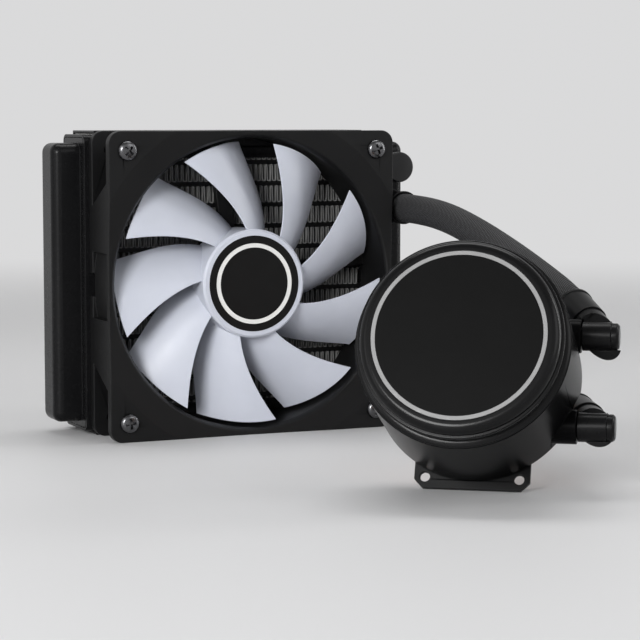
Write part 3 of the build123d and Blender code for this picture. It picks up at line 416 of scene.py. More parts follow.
class Look(Enum):
    """Every finish of the cooler, by name."""

    FRAME = Finish(
        "frame_plastic", grey(0.0052, 0.0055), grey(0.007, 0.0073), patch_mm=18, roughness=(0.42, 0.46),
        grain_mm=0.4, depth_mm=0.0025, specular=0.2,
    )
    BLADE = Finish(
        "blade_plastic", (0.6, 0.625, 0.7), (0.56, 0.585, 0.66), patch_mm=14, roughness=(0.34, 0.4),
        grain_mm=0.6, depth_mm=0.004, specular=0.35, subsurface=0.1,
    )
    CAP = Finish(
        "hub_label", grey(0.007), grey(0.008), patch_mm=9, roughness=(0.36, 0.4), grain_mm=0.5,
        depth_mm=0.002, specular=0.14,
    )
    HUB_RING = Finish(
        "hub_ring", grey(0.82, 0.8), grey(0.78, 0.76), patch_mm=6, roughness=(0.3, 0.36), grain_mm=0.5,
        depth_mm=0.003,
    )
    FACE_RING = Finish(
        "face_ring", grey(0.3), grey(0.27), patch_mm=8, roughness=(0.34, 0.4), grain_mm=0.4,
        depth_mm=0.003, specular=0.3,
    )
    PAINT = Finish(
        "tank_paint", grey(0.0055, 0.006), grey(0.0075, 0.008), patch_mm=22, roughness=(0.26, 0.28),
        grain_mm=0.6, depth_mm=0.0004, specular=0.13,
    )
    # The fins are black paint like the tubes; their grey colour is painted light that stands in for the lamps
    # on their folds.
    LIT_FIN = Finish(
        "lit_fin_paint", grey(0.2, 0.195), grey(0.27, 0.262), patch_mm=4, roughness=(0.34, 0.45),
        grain_mm=0.4, depth_mm=0.006, specular=0.5,
    )
    TUBE = Finish(
        "tube_paint", grey(0.005), grey(0.008), patch_mm=5, roughness=(0.4, 0.5), grain_mm=0.5,
        depth_mm=0.01, specular=0.2,
    )
    FITTING = Finish(
        "fitting_coat", grey(0.005, 0.0053), grey(0.007, 0.0073), patch_mm=4, roughness=(0.3, 0.33),
        depth_mm=0.0006, specular=0.1,
    )
    ELBOW = Finish(
        "elbow_plastic", grey(0.006, 0.0063), grey(0.008, 0.0083), patch_mm=6, roughness=(0.27, 0.29),
        depth_mm=0.0004, specular=0.1,
    )
    CAP_GREY = Finish(
        "filler_plastic", grey(0.02, 0.021), grey(0.026, 0.027), patch_mm=5, roughness=(0.45, 0.55),
        depth_mm=0.006, specular=0.25,
    )
    PUMP = Finish(
        "pump_gloss", grey(0.003, 0.0033), grey(0.004, 0.0043), patch_mm=24, roughness=(0.25, 0.265),
        grain_mm=0.6, depth_mm=0.0004, specular=0.03, strength=0.3,
    )
    BEZEL = Finish(
        "bezel_gloss", grey(0.004, 0.0043), grey(0.005, 0.0053), patch_mm=24, roughness=(0.21, 0.225),
        grain_mm=0.6, depth_mm=0.0004, specular=0.17, strength=0.3,
    )
    FACE = Finish(
        "pump_face", grey(0.005), grey(0.0056), patch_mm=15, roughness=(0.36, 0.4), grain_mm=0.5,
        depth_mm=0.0008, specular=0.05, strength=0.3,
    )
    PLATE = Finish(
        "plate_coat", grey(0.005, 0.0053), grey(0.007, 0.0073), patch_mm=7, roughness=(0.35, 0.4),
        depth_mm=0.0015, specular=0.1,
    )
    SCREW = Finish(
        "dark_steel", grey(0.13, 0.135), grey(0.1, 0.104), patch_mm=3, roughness=(0.2, 0.28),
        grain_mm=0.25, depth_mm=0.003, metallic=1.0,
    )
    STEEL = Finish(
        "plain_steel", grey(0.56, 0.57), grey(0.46, 0.47), patch_mm=3, roughness=(0.22, 0.38),
        grain_mm=0.25, depth_mm=0.008, metallic=1.0,
    )
    CORE_STEEL = Finish(
        "laminated_steel", grey(0.4, 0.41), grey(0.3, 0.31), patch_mm=4, roughness=(0.4, 0.55),
        depth_mm=0.01, metallic=1.0, lay=Lay.ALONG_X,
    )
    COPPER = Finish(
        "bare_copper", (0.86, 0.46, 0.3), (0.74, 0.36, 0.22), patch_mm=9, roughness=(0.22, 0.36),
        grain_mm=0.35, depth_mm=0.01, metallic=1.0, lay=Lay.ALONG_Z,
    )
    BRONZE = Finish(
        "sintered_bronze", (0.55, 0.38, 0.18), (0.42, 0.28, 0.13), patch_mm=2, roughness=(0.5, 0.65),
        grain_mm=0.2, metallic=1.0,
    )
    RUBBER = Finish(
        "soft_rubber", grey(0.016), grey(0.024), patch_mm=3, roughness=(0.6, 0.75),
    )
    FERRITE = Finish(
        "ferrite", grey(0.06, 0.065), grey(0.09, 0.095), patch_mm=3, roughness=(0.5, 0.65),
        grain_mm=0.25,
    )
    CERAMIC = Finish(
        "white_ceramic", grey(0.82, 0.79), grey(0.76, 0.73), patch_mm=4, roughness=(0.15, 0.25),
        depth_mm=0.004,
    )
    BOARD = Finish(
        "circuit_board", (0.015, 0.08, 0.045), (0.02, 0.1, 0.055), patch_mm=4, roughness=(0.35, 0.5),
        grain_mm=0.5,
    )
    BLACK_BOARD = Finish(
        "black_board", grey(0.01, 0.011), grey(0.014, 0.015), patch_mm=4, roughness=(0.35, 0.5),
        grain_mm=0.5, depth_mm=0.01,
    )
    INNER = Finish(
        "filled_plastic", grey(0.2, 0.21), grey(0.26, 0.27), patch_mm=3, roughness=(0.45, 0.6),
    )
    BRAID = BraidFinish()

    @cache
    def material(self) -> bpy.types.Material:
        """Returns the finish's material, built the first time."""
        return self.value.build()


@dataclass(frozen=True)
class Dress:
    """How some of the carried-over nodes are finished.

    Attributes:
        look: Their finish.
        edge_mm: The width of their softened edges, or 0 to keep them sharp.
        nodes: Their names.
    """

    look: Look
    edge_mm: float
    nodes: tuple[str, ...]


WARDROBE = (
    Dress(Look.FRAME, 0.35, ("fan_frame",)),
    Dress(Look.BLADE, 0.0, ("fan_rotor",)),
    Dress(Look.CAP, 0.1, ("hub_cap",)),
    Dress(Look.HUB_RING, 0.0, ("hub_light_ring",)),
    Dress(Look.FACE_RING, 0.08, ("face_light_ring",)),
    Dress(Look.PAINT, 0.3, ("side_plate_bottom", "side_plate_top")),
    Dress(Look.PAINT, 0.3, ("header_plate_left", "header_plate_right", "tank_left", "tank_right")),
    Dress(Look.PAINT, 0.0, ("tank_divider", "filler_neck")),
    Dress(Look.TUBE, 0.2, ("radiator_tubes",)),
    Dress(Look.FITTING, 0.3, ("hose_fitting_upper", "hose_fitting_lower")),
    Dress(Look.FITTING, 0.25, ("ferrule_radiator_upper", "ferrule_radiator_lower")),
    Dress(Look.FITTING, 0.25, ("ferrule_pump_upper", "ferrule_pump_lower")),
    Dress(Look.CAP_GREY, 0.15, ("filler_cap",)),
    Dress(Look.ELBOW, 0.25, ("elbow_upper", "elbow_lower")),
    Dress(Look.ELBOW, 0.2, ("elbow_cap_upper", "elbow_cap_lower")),
    Dress(Look.PUMP, 0.3, ("pump_body",)),
    Dress(Look.FACE, 0.1, ("pump_face",)),
    Dress(Look.PLATE, 0.25, ("mounting_plate",)),
    Dress(Look.STEEL, 0.15, ("cold_plate_screws",)),
    Dress(Look.STEEL, 0.0, ("rotor_shaft", "shaft_clip")),
    Dress(Look.CORE_STEEL, 0.0, ("rotor_yoke", "fan_stator_core", "pump_stator_core")),
    Dress(Look.COPPER, 0.2, ("cold_plate",)),
    Dress(Look.COPPER, 0.0, ("fan_coils", "pump_coils")),
    Dress(Look.BRONZE, 0.0, ("sleeve_bearing",)),
    Dress(Look.RUBBER, 0.0, ("filler_seal", "base_gasket", "port_seal_upper", "port_seal_lower")),
    Dress(Look.FERRITE, 0.0, ("rotor_magnet", "impeller_magnet")),
    Dress(Look.CERAMIC, 0.0, ("impeller_shaft",)),
    Dress(Look.BOARD, 0.0, ("fan_circuit_board", "pump_circuit_board")),
    Dress(Look.BLACK_BOARD, 0.0, ("light_board",)),
    Dress(Look.INNER, 0.0, ("impeller", "volute_plate")),
)


def dress_frame() -> None:
    """Gives the carried-over nodes their finishes, and softens the edges of those that need it."""
    for dress in WARDROBE:
        for name in dress.nodes:
            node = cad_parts[name]
            for slot in node.material_slots:
                slot.material = dress.look.material()
            if dress.edge_mm:
                weld = node.modifiers.new("joined faces", "WELD")
                weld.merge_threshold = WELD_MM * MM
                soften(node, dress.edge_mm)
            LOG.info("dressed %s", name)


def soften(piece: bpy.types.Object, width_mm: float) -> None:
    """Rounds a piece's edges and keeps its flat faces flat.

    Args:
        piece: The piece.
        width_mm: The width of the rounding, in millimetres.
    """
    bevel = piece.modifiers.new("soft edges", "BEVEL")
    bevel.width = width_mm * MM
    bevel.segments = SOFT_EDGE_STEPS
    bevel.limit_method = "ANGLE"
    bevel.angle_limit = SOFT_EDGE_ANGLE
    bevel.use_clamp_overlap = False
    normals = piece.modifiers.new("even shading", "WEIGHTED_NORMAL")
    normals.keep_sharp = True


def split_edges(piece: bpy.types.Object, angle: float) -> None:
    """Keeps a piece's edges sharp where its faces turn by more than an angle in degrees."""
    split = piece.modifiers.new("sharp edges", "EDGE_SPLIT")
    split.split_angle = math.radians(angle)


def add_object(mesh: bmesh.types.BMesh, name: str, material: bpy.types.Material) -> bpy.types.Object:
    """Adds a smooth-shaded object to the scene.

    Args:
        mesh: Its shape, in metres.
        name: Its name.
        material: Its material.

    Returns:
        The new object.
    """
    data = bpy.data.meshes.new(name)
    mesh.to_mesh(data)
    mesh.free()
    for polygon in data.polygons:
        polygon.use_smooth = True
    data.materials.append(material)
    new_object = bpy.data.objects.new(name, data)
    bpy.context.scene.collection.objects.link(new_object)
    return new_object


def finish_piece(
    mesh: bmesh.types.BMesh, name: str, look: Look, body: str = "", matrix: Matrix | None = None
) -> bpy.types.Object:
    """Turns a finished bmesh into a piece of the model.

    Args:
        mesh: The shape, in millimetres round its own origin.
        name: The piece's name.
        look: Its finish.
        body: The body that it moves with, or nothing where it is left unattached.
        matrix: Where it goes, in millimetres, or nothing where it is in its place already.

    Returns:
        The new object.
    """
    bmesh.ops.remove_doubles(mesh, verts=mesh.verts, dist=MERGE_MM)
    bmesh.ops.recalc_face_normals(mesh, faces=mesh.faces)
    if matrix is not None:
        mesh.transform(matrix)
    mesh.transform(Matrix.Scale(MM, 4))
    piece = add_object(mesh, name, look.material())
    if body:
        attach(piece, body)
    LOG.info("built %s", name)
    return piece


def lathe(
    mesh: bmesh.types.BMesh, outline: list[tuple[float, float]], steps: int, closed: bool = True
) -> None:
    """Spins an outline of radius and height round the z axis.

    Args:
        mesh: The bmesh that it goes into.
        outline: Points of radius and height, in order.
        steps: How many faces a full turn has.
        closed: Whether the last point joins the first.
    """
    points = [mesh.verts.new((radius, 0.0, height)) for radius, height in outline]
    edges = [mesh.edges.new(pair) for pair in zip(points, points[1:])]
    if closed:
        edges.append(mesh.edges.new((points[-1], points[0])))
    bmesh.ops.spin(
        mesh,
        geom=points + edges,
        cent=(0, 0, 0),
        axis=(0, 0, 1),
        dvec=(0, 0, 0),
        angle=FULL_TURN,
        steps=steps,
        use_merge=True,
        use_duplicate=False,
    )


def arc(
    centre: tuple[float, float], radius: float, start: float, end: float, steps: int
) -> list[tuple[float, float]]:
    """Returns points along an arc.

    Args:
        centre: Its centre.
        radius: Its radius.
        start: The angle of its first point, in degrees.
        end: The angle of its last point, in degrees.
        steps: How many runs it has.

    Returns:
        Its points, the two ends among them.
    """
    angles = [math.radians(start + (end - start) * step / steps) for step in range(steps + 1)]
    across, up = centre
    return [(across + radius * math.cos(angle), up + radius * math.sin(angle)) for angle in angles]


@dataclass
class BraidedHose:
    """One hose: a braided tube along a smooth line from the tank's fitting to the pump's elbow.

    Attributes:
        which: Which hose it is.
        length_mm: Its real length; not used.
        points: Its listed points between the two straight runs.
        radius: Its outer radius.
        relief: How deep the braid lies between its strands.
        strands: How many strands run each way round.
        crown_share: The height of a strand's edge as it passes over another.
        under_share: The height of a strand as it passes under another.
        around: How many faces it has round.
        along: How many faces it has along.
        way_span: How many cross-sections to each side give one its direction.
        seam: The distance within which the tube's seam is joined.
        mouth: Where it meets its elbow, along the branch.
        run: Where its straight run from the elbow ends, along the branch.
        fitting_x: Where it starts at the tank's fitting, across.
        fitting_reach: How far in front of the tank's middle it starts.
    """

    which: Hose
    length_mm: float
    points: tuple[tuple[float, float, float], ...]
    radius: float = 5.8
    relief: float = 0.34
    strands: int = 32
    crown_share: float = 0.6
    under_share: float = 0.45
    around: int = 150
    along: int = 620
    way_span: int = 5
    seam: float = 0.001
    mouth: float = 11.7
    run: float = 32.0
    fitting_x: float = 68.3
    fitting_reach: float = 18.3

    def route(self) -> list[Vector]:
        """Returns the points of the whole hose, in millimetres."""
        branch = BRANCHES[self.which]
        start = Vector((self.fitting_x, -self.fitting_reach, FITTING_HEIGHTS[self.which]))
        middle = [Vector(point) for point in self.points]
        return [start, *middle, branch.point(self.run), branch.point(self.mouth)]

    def line(self) -> list[Vector]:
        """Returns points read from the smooth curve through the route, in metres."""
        curve = bpy.data.curves.new("hose_line", "CURVE")
        curve.dimensions = "3D"
        curve.resolution_u = 32
        spline = curve.splines.new("NURBS")
        route = self.route()
        spline.points.add(len(route) - 1)
        for point, position in zip(spline.points, route):
            point.co = (*(position * MM), 1.0)
        spline.order_u = 3
        spline.use_endpoint_u = True
        carrier = bpy.data.objects.new("hose_line", curve)
        bpy.context.scene.collection.objects.link(carrier)
        bpy.context.view_layer.update()
        sampled = bpy.data.meshes.new_from_object(carrier)
        path = [vertex.co.copy() for vertex in sampled.vertices]
        bpy.data.objects.remove(carrier)
        bpy.data.meshes.remove(sampled)
        return path

    def sections(self, path: list[Vector]) -> tuple[list[Matrix], float]:
        """Spaces cross-sections evenly along the line, without twisting.

        Args:
            path: Points of the line, in metres.

        Returns:
            The matrix of each cross-section, in metres, and the line's length.
        """
        lengths = [0.0]
        for before, after in zip(path, path[1:]):
            lengths.append(lengths[-1] + (after - before).length)
        centres = []
        segment = 0
        for index in range(self.along + 1):
            distance = lengths[-1] * index / self.along
            while segment < len(path) - 2 and lengths[segment + 1] < distance:
                segment += 1
            share = (distance - lengths[segment]) / (lengths[segment + 1] - lengths[segment])
            centres.append(path[segment].lerp(path[segment + 1], share))
        matrices = []
        across = Vector((0, 0, 1))
        for index, centre in enumerate(centres):
            ahead = centres[min(index + self.way_span, self.along)]
            behind = centres[max(index - self.way_span, 0)]
            way = (ahead - behind).normalized()
            across = (across - way * across.dot(way)).normalized()
            matrices.append(place(centre, across, way))
        return matrices, lengths[-1]

    def weave(self, turn: float, travel: float) -> float:
        """Returns the braid's height at a place on the tube, from 0 to 1.

        Args:
            turn: How far round the tube, from 0 to 1.
            travel: How far along it, in widths of the unrolled tube.

        Returns:
            The height.
        """
        first = self.strands * (turn + travel)
        second = self.strands * (turn - travel)
        crowns = [1 - (2 * (value - math.floor(value)) - 1) ** 2 for value in (first, second)]
        if (math.floor(first) + math.floor(second)) % 2:
            crowns.reverse()
        upper, lower = crowns
        over = upper * (self.crown_share + (1 - self.crown_share) * lower)
        return max(over, self.under_share * lower)

    def build(self) -> bpy.types.Object:
        """Returns:
            The tube.
        """
        path = self.line()
        matrices, length = self.sections(path)
        widths = length / (FULL_TURN * self.radius * MM)
        mesh = bmesh.new()
        crest = mesh.verts.layers.float.new("crest")
        bmesh.ops.create_grid(mesh, x_segments=self.around, y_segments=self.along, size=1.0)
        for vertex in mesh.verts:
            turn = (vertex.co.x + 1) / 2
            share = (vertex.co.y + 1) / 2
            height = self.weave(turn, share * widths)
            vertex[crest] = height
            radius = (self.radius - self.relief * (1 - height)) * MM
            angle = FULL_TURN * turn
            spot = Vector((math.cos(angle) * radius, math.sin(angle) * radius, 0.0))
            vertex.co = matrices[round(share * self.along)] @ spot
        mesh.transform(Matrix.Scale(1 / MM, 4))
        bmesh.ops.remove_doubles(mesh, verts=mesh.verts, dist=self.seam)
        ends = [edge for edge in mesh.edges if edge.is_boundary]
        bmesh.ops.holes_fill(mesh, edges=ends, sides=0)
        piece = finish_piece(mesh, f"braided_hose_{self.which.value}", Look.BRAID)
        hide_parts(f"hose_{self.which.value}")
        end = BRANCHES[self.which].point(self.run) * MM
        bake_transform(piece)
        return piece


@dataclass
class FinPack:
    """The folded fins between the coolant tubes.

    Attributes:
        tube_count: How many tubes the core has.
        tube_pitch: The distance from tube to tube.
        tube_thickness: The height of a tube.
        lowest: The floor of the lowest row.
        highest: The roof of the highest row.
        half_width: How far the rows reach to each side.
        depth: How deep the fins are.
        legs: How many legs a row has.
        crest: Half the width of a fold.
        fold: Each fold's points, across and away from its crest, in shares of that half width.
        sheet: The thickness of the sheet.
        clearance: The gap between a fold and its tube.
        unevenness: How far a leg may stand from its place.
        seed: Starts the draws that place the legs.
        sharp_angle: The angle in degrees past which an edge shows sharp.
    """

    tube_count: int = 12
    tube_pitch: float = 8.6
    tube_thickness: float = 1.8
    lowest: float = 1.0
    highest: float = 119.0
    half_width: float = 57.3
    depth: float = 24.0
    legs: int = 100
    crest: float = 0.5
    fold: tuple[tuple[float, float], ...] = ((-1.0, 0.8), (-0.6, 0.0), (0.6, 0.0), (1.0, 0.8))
    sheet: float = 0.36
    clearance: float = 0.02
    unevenness: float = 0.07
    seed: int = 5
    sharp_angle: float = 50.0

    def rows(self) -> list[tuple[float, float]]:
        """Returns the floor and roof of each row, in millimetres."""
        middle = (self.tube_count - 1) / 2
        tubes = [CENTRE_HEIGHT + self.tube_pitch * (index - middle) for index in range(self.tube_count)]
        floors = [self.lowest] + [tube + self.tube_thickness / 2 for tube in tubes]
        roofs = [tube - self.tube_thickness / 2 for tube in tubes] + [self.highest]
        return list(zip(floors, roofs))

    def folds(self, floor: float, roof: float, chance: random.Random) -> list[Vector]:
        """Returns the folded line of one row as seen from the front.

        Args:
            floor: The height of its lower folds.
            roof: The height of its upper folds.
            chance: Gives the folds their small unevenness.

        Returns:
            The points of the line.
        """
        pitch = 2 * (self.half_width - self.crest - self.unevenness) / self.legs
        line = []
        for index in range(self.legs + 1):
            middle = pitch * (index - self.legs / 2) + chance.uniform(-self.unevenness, self.unevenness)
            height, inward = (floor, self.crest) if index % 2 else (roof, -self.crest)
            for across, away in self.fold:
                point = (middle + across * self.crest, self.depth / 2, height + away * inward)
                line.append(Vector(point))
        return line

    def build(self) -> bpy.types.Object:
        """Builds all rows as one piece.

        Returns:
            The fins.
        """
        chance = random.Random(self.seed)
        gap = self.sheet / 2 + self.clearance
        mesh = bmesh.new()
        for floor, roof in self.rows():
            line = [mesh.verts.new(point) for point in self.folds(floor + gap, roof - gap, chance)]
            edges = [mesh.edges.new(pair) for pair in zip(line, line[1:])]
            swept = bmesh.ops.extrude_edge_only(mesh, edges=edges)["geom"]
            bmesh.ops.translate(mesh, vec=(0, -self.depth, 0), verts=vertices_of(swept))
        bmesh.ops.recalc_face_normals(mesh, faces=mesh.faces)
        bmesh.ops.solidify(mesh, geom=list(mesh.faces), thickness=self.sheet)
        piece = finish_piece(mesh, "folded_fins", Look.LIT_FIN, "radiator")
        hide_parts("radiator_fins")
        split_edges(piece, self.sharp_angle)
        return piece


@dataclass
class FanScrews:
    """The four cross-recess screws that hold the fan on the radiator.

    Attributes:
        spread: How far each stands from the fan's axis, across and up.
        face: The height of the fan's front above its back.
        head_radius: The radius of a head.
        head_height: The height of a head.
        head_round: The head's round, in shares of its radius and drops below its top.
        foot_chamfer: The chamfer under the head's edge.
        shank_radius: The radius of the shank.
        tip: The height of the shank's tip.
        tip_radius: The radius of the tip.
        tip_length: The length of the tip's cone.
        recess_reach: How far the cross reaches from the middle.
        recess_width: Half the width of its arms.
        recess_depth: Its depth.
        recess_taper: The size of its bottom, as a share of its top.
        cut_above: The height above the fan's front from which the cross is cut.
        steps: How many faces a full turn has.
        sharp_angle: The angle in degrees past which an edge shows sharp.
        places: Each screw's turn in degrees, and its side across and up.
    """

    spread: float = 52.5
    face: float = 25.0
    head_radius: float = 3.9
    head_height: float = 2.1
    head_round: tuple[tuple[float, float], ...] = (
        (0.45, 0.06), (0.72, 0.34), (0.88, 0.78), (0.97, 1.35), (1.0, 1.8)
    )
    foot_chamfer: float = 0.12
    shank_radius: float = 1.6
    tip: float = -1.2
    tip_radius: float = 1.3
    tip_length: float = 0.3
    recess_reach: float = 2.1
    recess_width: float = 0.5
    recess_depth: float = 1.2
    recess_taper: float = 0.72
    cut_above: float = 1.0
    steps: int = 48
    sharp_angle: float = 35.0
    places: tuple[tuple[int, int, int], ...] = ((20, 1, 1), (75, 1, -1), (48, -1, 1), (8, -1, -1))

    def outline(self) -> list[tuple[float, float]]:
        """Returns one screw's outline, from the top of its head to its tip."""
        top = self.face + self.head_height
        rounded = [(self.head_radius * share, top - drop) for share, drop in self.head_round]
        foot = [
            (self.head_radius, self.face + self.foot_chamfer),
            (self.head_radius - self.foot_chamfer, self.face),
        ]
        shank = [
            (self.shank_radius, self.face),
            (self.shank_radius, self.tip + self.tip_length),
            (self.tip_radius, self.tip),
            (0.0, self.tip),
        ]
        return [(0.0, top), *rounded, *foot, *shank]

    def recess(self, mesh: bmesh.types.BMesh) -> None:
        """Sinks a cross into the top of the head.

        Args:
            mesh: One screw round the z axis.
        """
        distances = [sign * size for size in (self.recess_width, self.recess_reach) for sign in (1, -1)]
        for axis in (Vector((1, 0, 0)), Vector((0, 1, 0))):
            for distance in distances:
                parts = [*mesh.verts, *mesh.edges, *mesh.faces]
                spot = axis * distance
                bmesh.ops.bisect_plane(mesh, geom=parts, dist=0.0001, plane_co=spot, plane_no=axis)
        chosen = []
        for face in mesh.faces:
            centre = face.calc_center_median()
            nearer, farther = sorted((abs(centre.x), abs(centre.y)))
            inside = nearer < self.recess_width and farther < self.recess_reach
            if inside and centre.z > self.face + self.cut_above:
                chosen.append(face)
        sunk = vertices_of(bmesh.ops.extrude_face_region(mesh, geom=chosen)["geom"])
        bmesh.ops.delete(mesh, geom=chosen, context="FACES")
        bmesh.ops.translate(mesh, vec=(0, 0, -self.recess_depth), verts=sunk)
        bmesh.ops.scale(mesh, vec=(self.recess_taper, self.recess_taper, 1.0), verts=sunk)

    def build(self) -> bpy.types.Object:
        """Builds the four screws as one piece.

        Returns:
            The screws.
        """
        mesh = bmesh.new()
        lathe(mesh, self.outline(), self.steps, closed=False)
        bmesh.ops.remove_doubles(mesh, verts=mesh.verts, dist=MERGE_MM)
        self.recess(mesh)
        first = [*mesh.verts, *mesh.edges, *mesh.faces]
        for turn, across, up in self.places[1:]:
            copied = bmesh.ops.duplicate(mesh, geom=first)["geom"]
            self.seat(mesh, vertices_of(copied), turn, across, up)
        self.seat(mesh, vertices_of(first), *self.places[0])
        piece = finish_piece(mesh, "cross_head_screws", Look.SCREW, "radiator", FAN_MATRIX)
        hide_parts("fan_screws")
        split_edges(piece, self.sharp_angle)
        return piece

    def seat(self, mesh: bmesh.types.BMesh, verts: list, turn: float, across: int, up: int) -> None:
        """Turns one screw and puts it in its corner.

        Args:
            mesh: The bmesh that holds it.
            verts: Its vertices.
            turn: How far its recess is turned, in degrees.
            across: The side of the fan, 1 or -1.
            up: The top or bottom of the fan, 1 or -1.
        """
        turned = Matrix.Rotation(math.radians(turn), 3, "Z")
        bmesh.ops.rotate(mesh, verts=verts, cent=(0, 0, 0), matrix=turned)
        bmesh.ops.translate(mesh, verts=verts, vec=(self.spread * across, self.spread * up, 0))


@dataclass
class PumpBezel:
    """The round bezel on the pump, with its rounded outer edge and the grooves round it.

    Attributes:
        bore: The radius of its opening.
        ledge: The radius of the ledge behind the opening.
        ledge_height: The height of that ledge.
        foot: The height of its back.
        seat: Where it sits on the pump's body, up to the lower groove, as radii and heights.
        band: The narrow band between its two grooves, as radii and heights.
        shoulder: The radius of its crown.
        crown: The height of its front.
        edge_radius: The radius of its rounded outer edge.
        edge_steps: How many faces that round has.
        steps: How many faces a full turn has.
        soft_edge: The width of its softened edges.
    """

    bore: float = 28.65
    ledge: float = 29.4
    ledge_height: float = 47.6
    foot: float = 41.0
    seat: tuple[tuple[float, float], ...] = (
        (35.3, 41.0), (34.5, 41.8), (33.2, 42.0), (33.2, 43.4), (32.4, 43.4), (32.4, 44.2)
    )
    band: tuple[tuple[float, float], ...] = (
        (33.6, 44.2), (33.8, 44.4), (33.8, 46.3), (33.55, 46.55), (32.4, 46.6), (32.4, 47.1)
    )
    shoulder: float = 32.8
    crown: float = 50.0
    edge_radius: float = 3.0
    edge_steps: int = 12
    steps: int = 200
    soft_edge: float = 0.16

    def outline(self) -> list[tuple[float, float]]:
        """Returns the bezel's outline of radius and height."""
        centre = (self.shoulder - self.edge_radius, self.crown - self.edge_radius)
        edge = arc(centre, self.edge_radius, 0, 90, self.edge_steps)
        opening = [(self.bore, self.crown), (self.bore, self.ledge_height)]
        back = [(self.ledge, self.ledge_height), (self.ledge, self.foot)]
        return [*opening, *back, *self.seat, *self.band, *edge]

    def build(self) -> bpy.types.Object:
        """Builds the bezel.

        Returns:
            The bezel.
        """
        mesh = bmesh.new()
        lathe(mesh, self.outline(), self.steps)
        piece = finish_piece(mesh, "round_bezel", Look.BEZEL, "radiator", PUMP_MATRIX)
        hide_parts("pump_bezel")
        soften(piece, self.soft_edge)
        return piece


@dataclass(frozen=True)
class Lamp:
    """One soft rectangular lamp, aimed at a point.

    Attributes:
        name: Its name.
        place: Where it stands, in metres.
        aim: The point that it faces.
        width: Its width, in metres.
        height: Its height, in metres.
        power: Its power, in watts.
    """

    name: str
    place: tuple[float, float, float]
    aim: tuple[float, float, float]
    width: float
    height: float
    power: float

    def build(self) -> None:
        """Adds the lamp to the scene."""
        light = bpy.data.lights.new(self.name, "AREA")
        light.shape = "RECTANGLE"
        light.size = self.width
        light.size_y = self.height
        light.energy = self.power
        lamp = bpy.data.objects.new(self.name, light)
        lamp.location = self.place
        way = Vector(self.aim) - Vector(self.place)
        lamp.rotation_euler = way.to_track_quat("-Z", "Y").to_euler()
        bpy.context.scene.collection.objects.link(lamp)


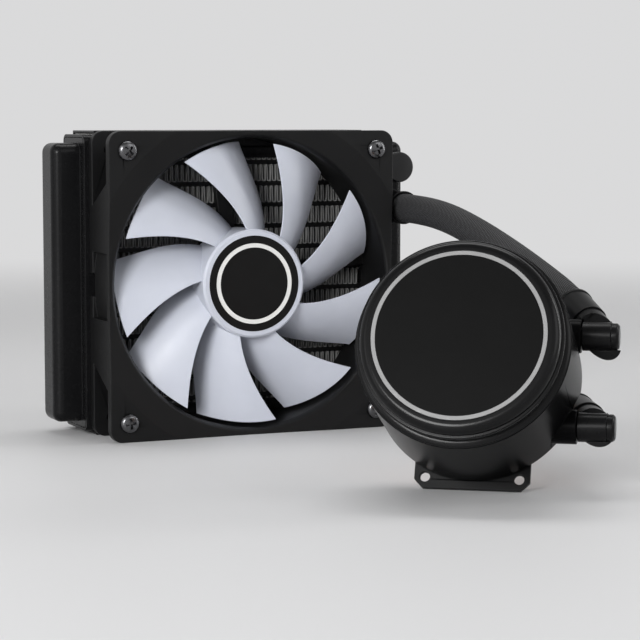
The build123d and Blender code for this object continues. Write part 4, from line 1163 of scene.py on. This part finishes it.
@dataclass
class Studio:
    """The camera, the pale floor with its backdrop, and the soft lamps.

    Attributes:
        eye: Where the camera stands, in metres.
        forward: Where it looks.
        sideways: Its direction to the right.
        lens: Its focal length, in millimetres.
        sensor: The width of its sensor, in millimetres.
        near_limit: How near it sees, in metres.
        floor_reach: The radius of the floor's flat part, in metres.
        bend: The radius of its bend up into the backdrop, in metres.
        backdrop_top: The height of the backdrop, in metres.
        tone: The colour of floor and backdrop.
        patch_mm: The size of the floor's patches.
        patch_tone: The tone of the patches, as a share of the floor's.
        roughness: The floor's roughness.
        specular: The floor's specular level.
        evened: Where the even tone starts and where it is full, in metres from the middle.
        sky_strength: The strength of the even light from all round.
    """

    eye: tuple[float, float, float] = (-0.3276, -0.8395, 0.1262)
    forward: tuple[float, float, float] = (0.4039, 0.9101, -0.0927)
    sideways: tuple[float, float, float] = (0.914, -0.4056, 0.0)
    lens: float = 124.0
    sensor: float = 36.0
    near_limit: float = 0.01
    floor_reach: float = 2.2
    bend: float = 1.0
    backdrop_top: float = 3.2
    tone: tuple[float, float, float] = grey(0.7, 0.705)
    patch_mm: float = 300.0
    patch_tone: float = 0.985
    roughness: float = 0.55
    specular: float = 0.3
    evened: tuple[float, float] = (0.35, 1.1)
    sky_strength: float = 0.3

    def build(self) -> None:
        """Builds the studio."""
        self.build_camera()
        self.build_floor()
        self.build_sky()
        for lamp in self.lamps():
            lamp.build()
        bpy.context.scene.view_settings.view_transform = "Standard"

    def build_camera(self) -> None:
        """Adds the camera at the photograph's angle."""
        lens = bpy.data.cameras.new("camera")
        lens.lens = self.lens
        lens.sensor_width = self.sensor
        lens.clip_start = self.near_limit
        camera = bpy.data.objects.new("camera", lens)
        forward = Vector(self.forward).normalized()
        camera.matrix_world = place(Vector(self.eye), Vector(self.sideways), -forward)
        bpy.context.scene.collection.objects.link(camera)
        bpy.context.scene.camera = camera

    def build_floor(self) -> None:
        """Adds the floor, which bends up into a backdrop on every side."""
        mesh = bmesh.new()
        wall = self.floor_reach + self.bend
        bent = arc((self.floor_reach, self.bend), self.bend, -90, 0, 16)
        lathe(mesh, [(0.0, 0.0), (self.floor_reach, 0.0), *bent, (wall, self.backdrop_top)], 96, closed=False)
        bmesh.ops.remove_doubles(mesh, verts=mesh.verts, dist=MERGE_MM)
        bmesh.ops.recalc_face_normals(mesh, faces=mesh.faces)
        add_object(mesh, "floor", self.floor_material())

    def floor_material(self) -> bpy.types.Material:
        """Builds the floor's material.

        Returns:
            The new material.
        """
        bench = Bench("pale_floor")
        patches = bench.noise(bench.coordinates(), self.patch_mm, 2.0)
        darker = tuple(value * self.patch_tone for value in self.tone)
        bench.colour(bench.remap(patches, "Fac", bench.NOISE_MIDDLE), self.tone, darker)
        bench.shader.inputs["Roughness"].default_value = self.roughness
        bench.shader.inputs["Specular IOR Level"].default_value = self.specular
        self.even_backdrop(bench)
        return bench.material

    def even_backdrop(self, bench: Bench) -> None:
        """Shows the far floor and the backdrop in one even tone, without more light on the object.

        Args:
            bench: The floor's material.
        """
        distance = bench.add("ShaderNodeVectorMath", operation="LENGTH")
        bench.join(bench.coordinates(), "Vector", distance, "Vector")
        share = bench.remap(distance, "Value", self.evened, curve="SMOOTHSTEP")
        amount = bench.add("ShaderNodeMath", operation="MULTIPLY")
        bench.join(share, "Result", amount, 0)
        bench.join(self.seen(bench), "Value", amount, 1)
        glow = bench.add("ShaderNodeEmission")
        glow.inputs["Color"].default_value = (*self.tone, 1.0)
        mixed = bench.add("ShaderNodeMixShader")
        bench.join(amount, "Value", mixed, "Fac")
        bench.join(bench.shader, "BSDF", mixed, 1)
        bench.join(glow, "Emission", mixed, 2)
        bench.join(mixed, "Shader", bench.output, "Surface")

    def seen(self, bench: Bench) -> bpy.types.Node:
        """Adds a value that is 1 for rays that look at a surface, directly or through a reflection.

        Args:
            bench: The material that it goes into.

        Returns:
            The node with the value.
        """
        ray = bench.add("ShaderNodeLightPath")
        direct = bench.add("ShaderNodeMath", operation="MAXIMUM")
        bench.join(ray, "Is Camera Ray", direct, 0)
        bench.join(ray, "Is Glossy Ray", direct, 1)
        either = bench.add("ShaderNodeMath", operation="MAXIMUM")
        bench.join(direct, "Value", either, 0)
        bench.join(ray, "Is Transmission Ray", either, 1)
        return either

    def build_sky(self) -> None:
        """Gives the world an even soft light."""
        world = bpy.data.worlds.new("studio_light")
        world.use_nodes = True
        background = world.node_tree.nodes["Background"]
        background.inputs["Color"].default_value = (1.0, 1.0, 1.0, 1.0)
        background.inputs["Strength"].default_value = self.sky_strength
        bpy.context.scene.world = world

    def lamps(self) -> list[Lamp]:
        """Returns the studio's lamps."""
        middle = (0.02, -0.08, 0.06)
        pump = (0.03, -0.2, 0.05)
        return [
            Lamp("key", (-0.95, -0.95, 0.45), middle, 0.45, 0.45, 13.5),
            Lamp("fill", (0.7, -1.15, 0.75), middle, 0.7, 0.7, 2.5),
            Lamp("left", (-1.1, -0.3, 0.45), middle, 0.25, 0.8, 1.0),
            Lamp("right", (0.85, -0.3, 0.3), pump, 0.15, 0.7, 2.0),
            Lamp("top", (0.1, 0.15, 1.1), middle, 0.9, 0.4, 5.0),
        ]


def hoses() -> list[BraidedHose]:
    """Returns the two hoses with their routes."""
    upper = (
        (68.3, -43.0, 88.5),
        (68.5, -70.0, 86.4),
        (67.9, -98.0, 80.9),
        (66.3, -126.0, 74.5),
        (64.0, -152.0, 68.2),
    )
    lower = (
        (68.3, -43.0, 31.5),
        (68.5, -73.0, 33.0),
        (67.6, -104.0, 34.4),
        (65.2, -135.0, 34.0),
        (60.8, -162.0, 30.6),
    )
    return [BraidedHose(Hose.UPPER, 177.8, upper), BraidedHose(Hose.LOWER, 185.7, lower)]


def main() -> None:
    """Builds the studio and the cooler, and reports each piece."""
    logging.basicConfig(level=logging.INFO, format="%(name)s: %(message)s")
    Studio().build()
    for hose in hoses():
        hose.build()
    dress_frame()
    FinPack().build()
    FanScrews().build()
    PumpBezel().build()


if __name__ == "__main__":
    main()
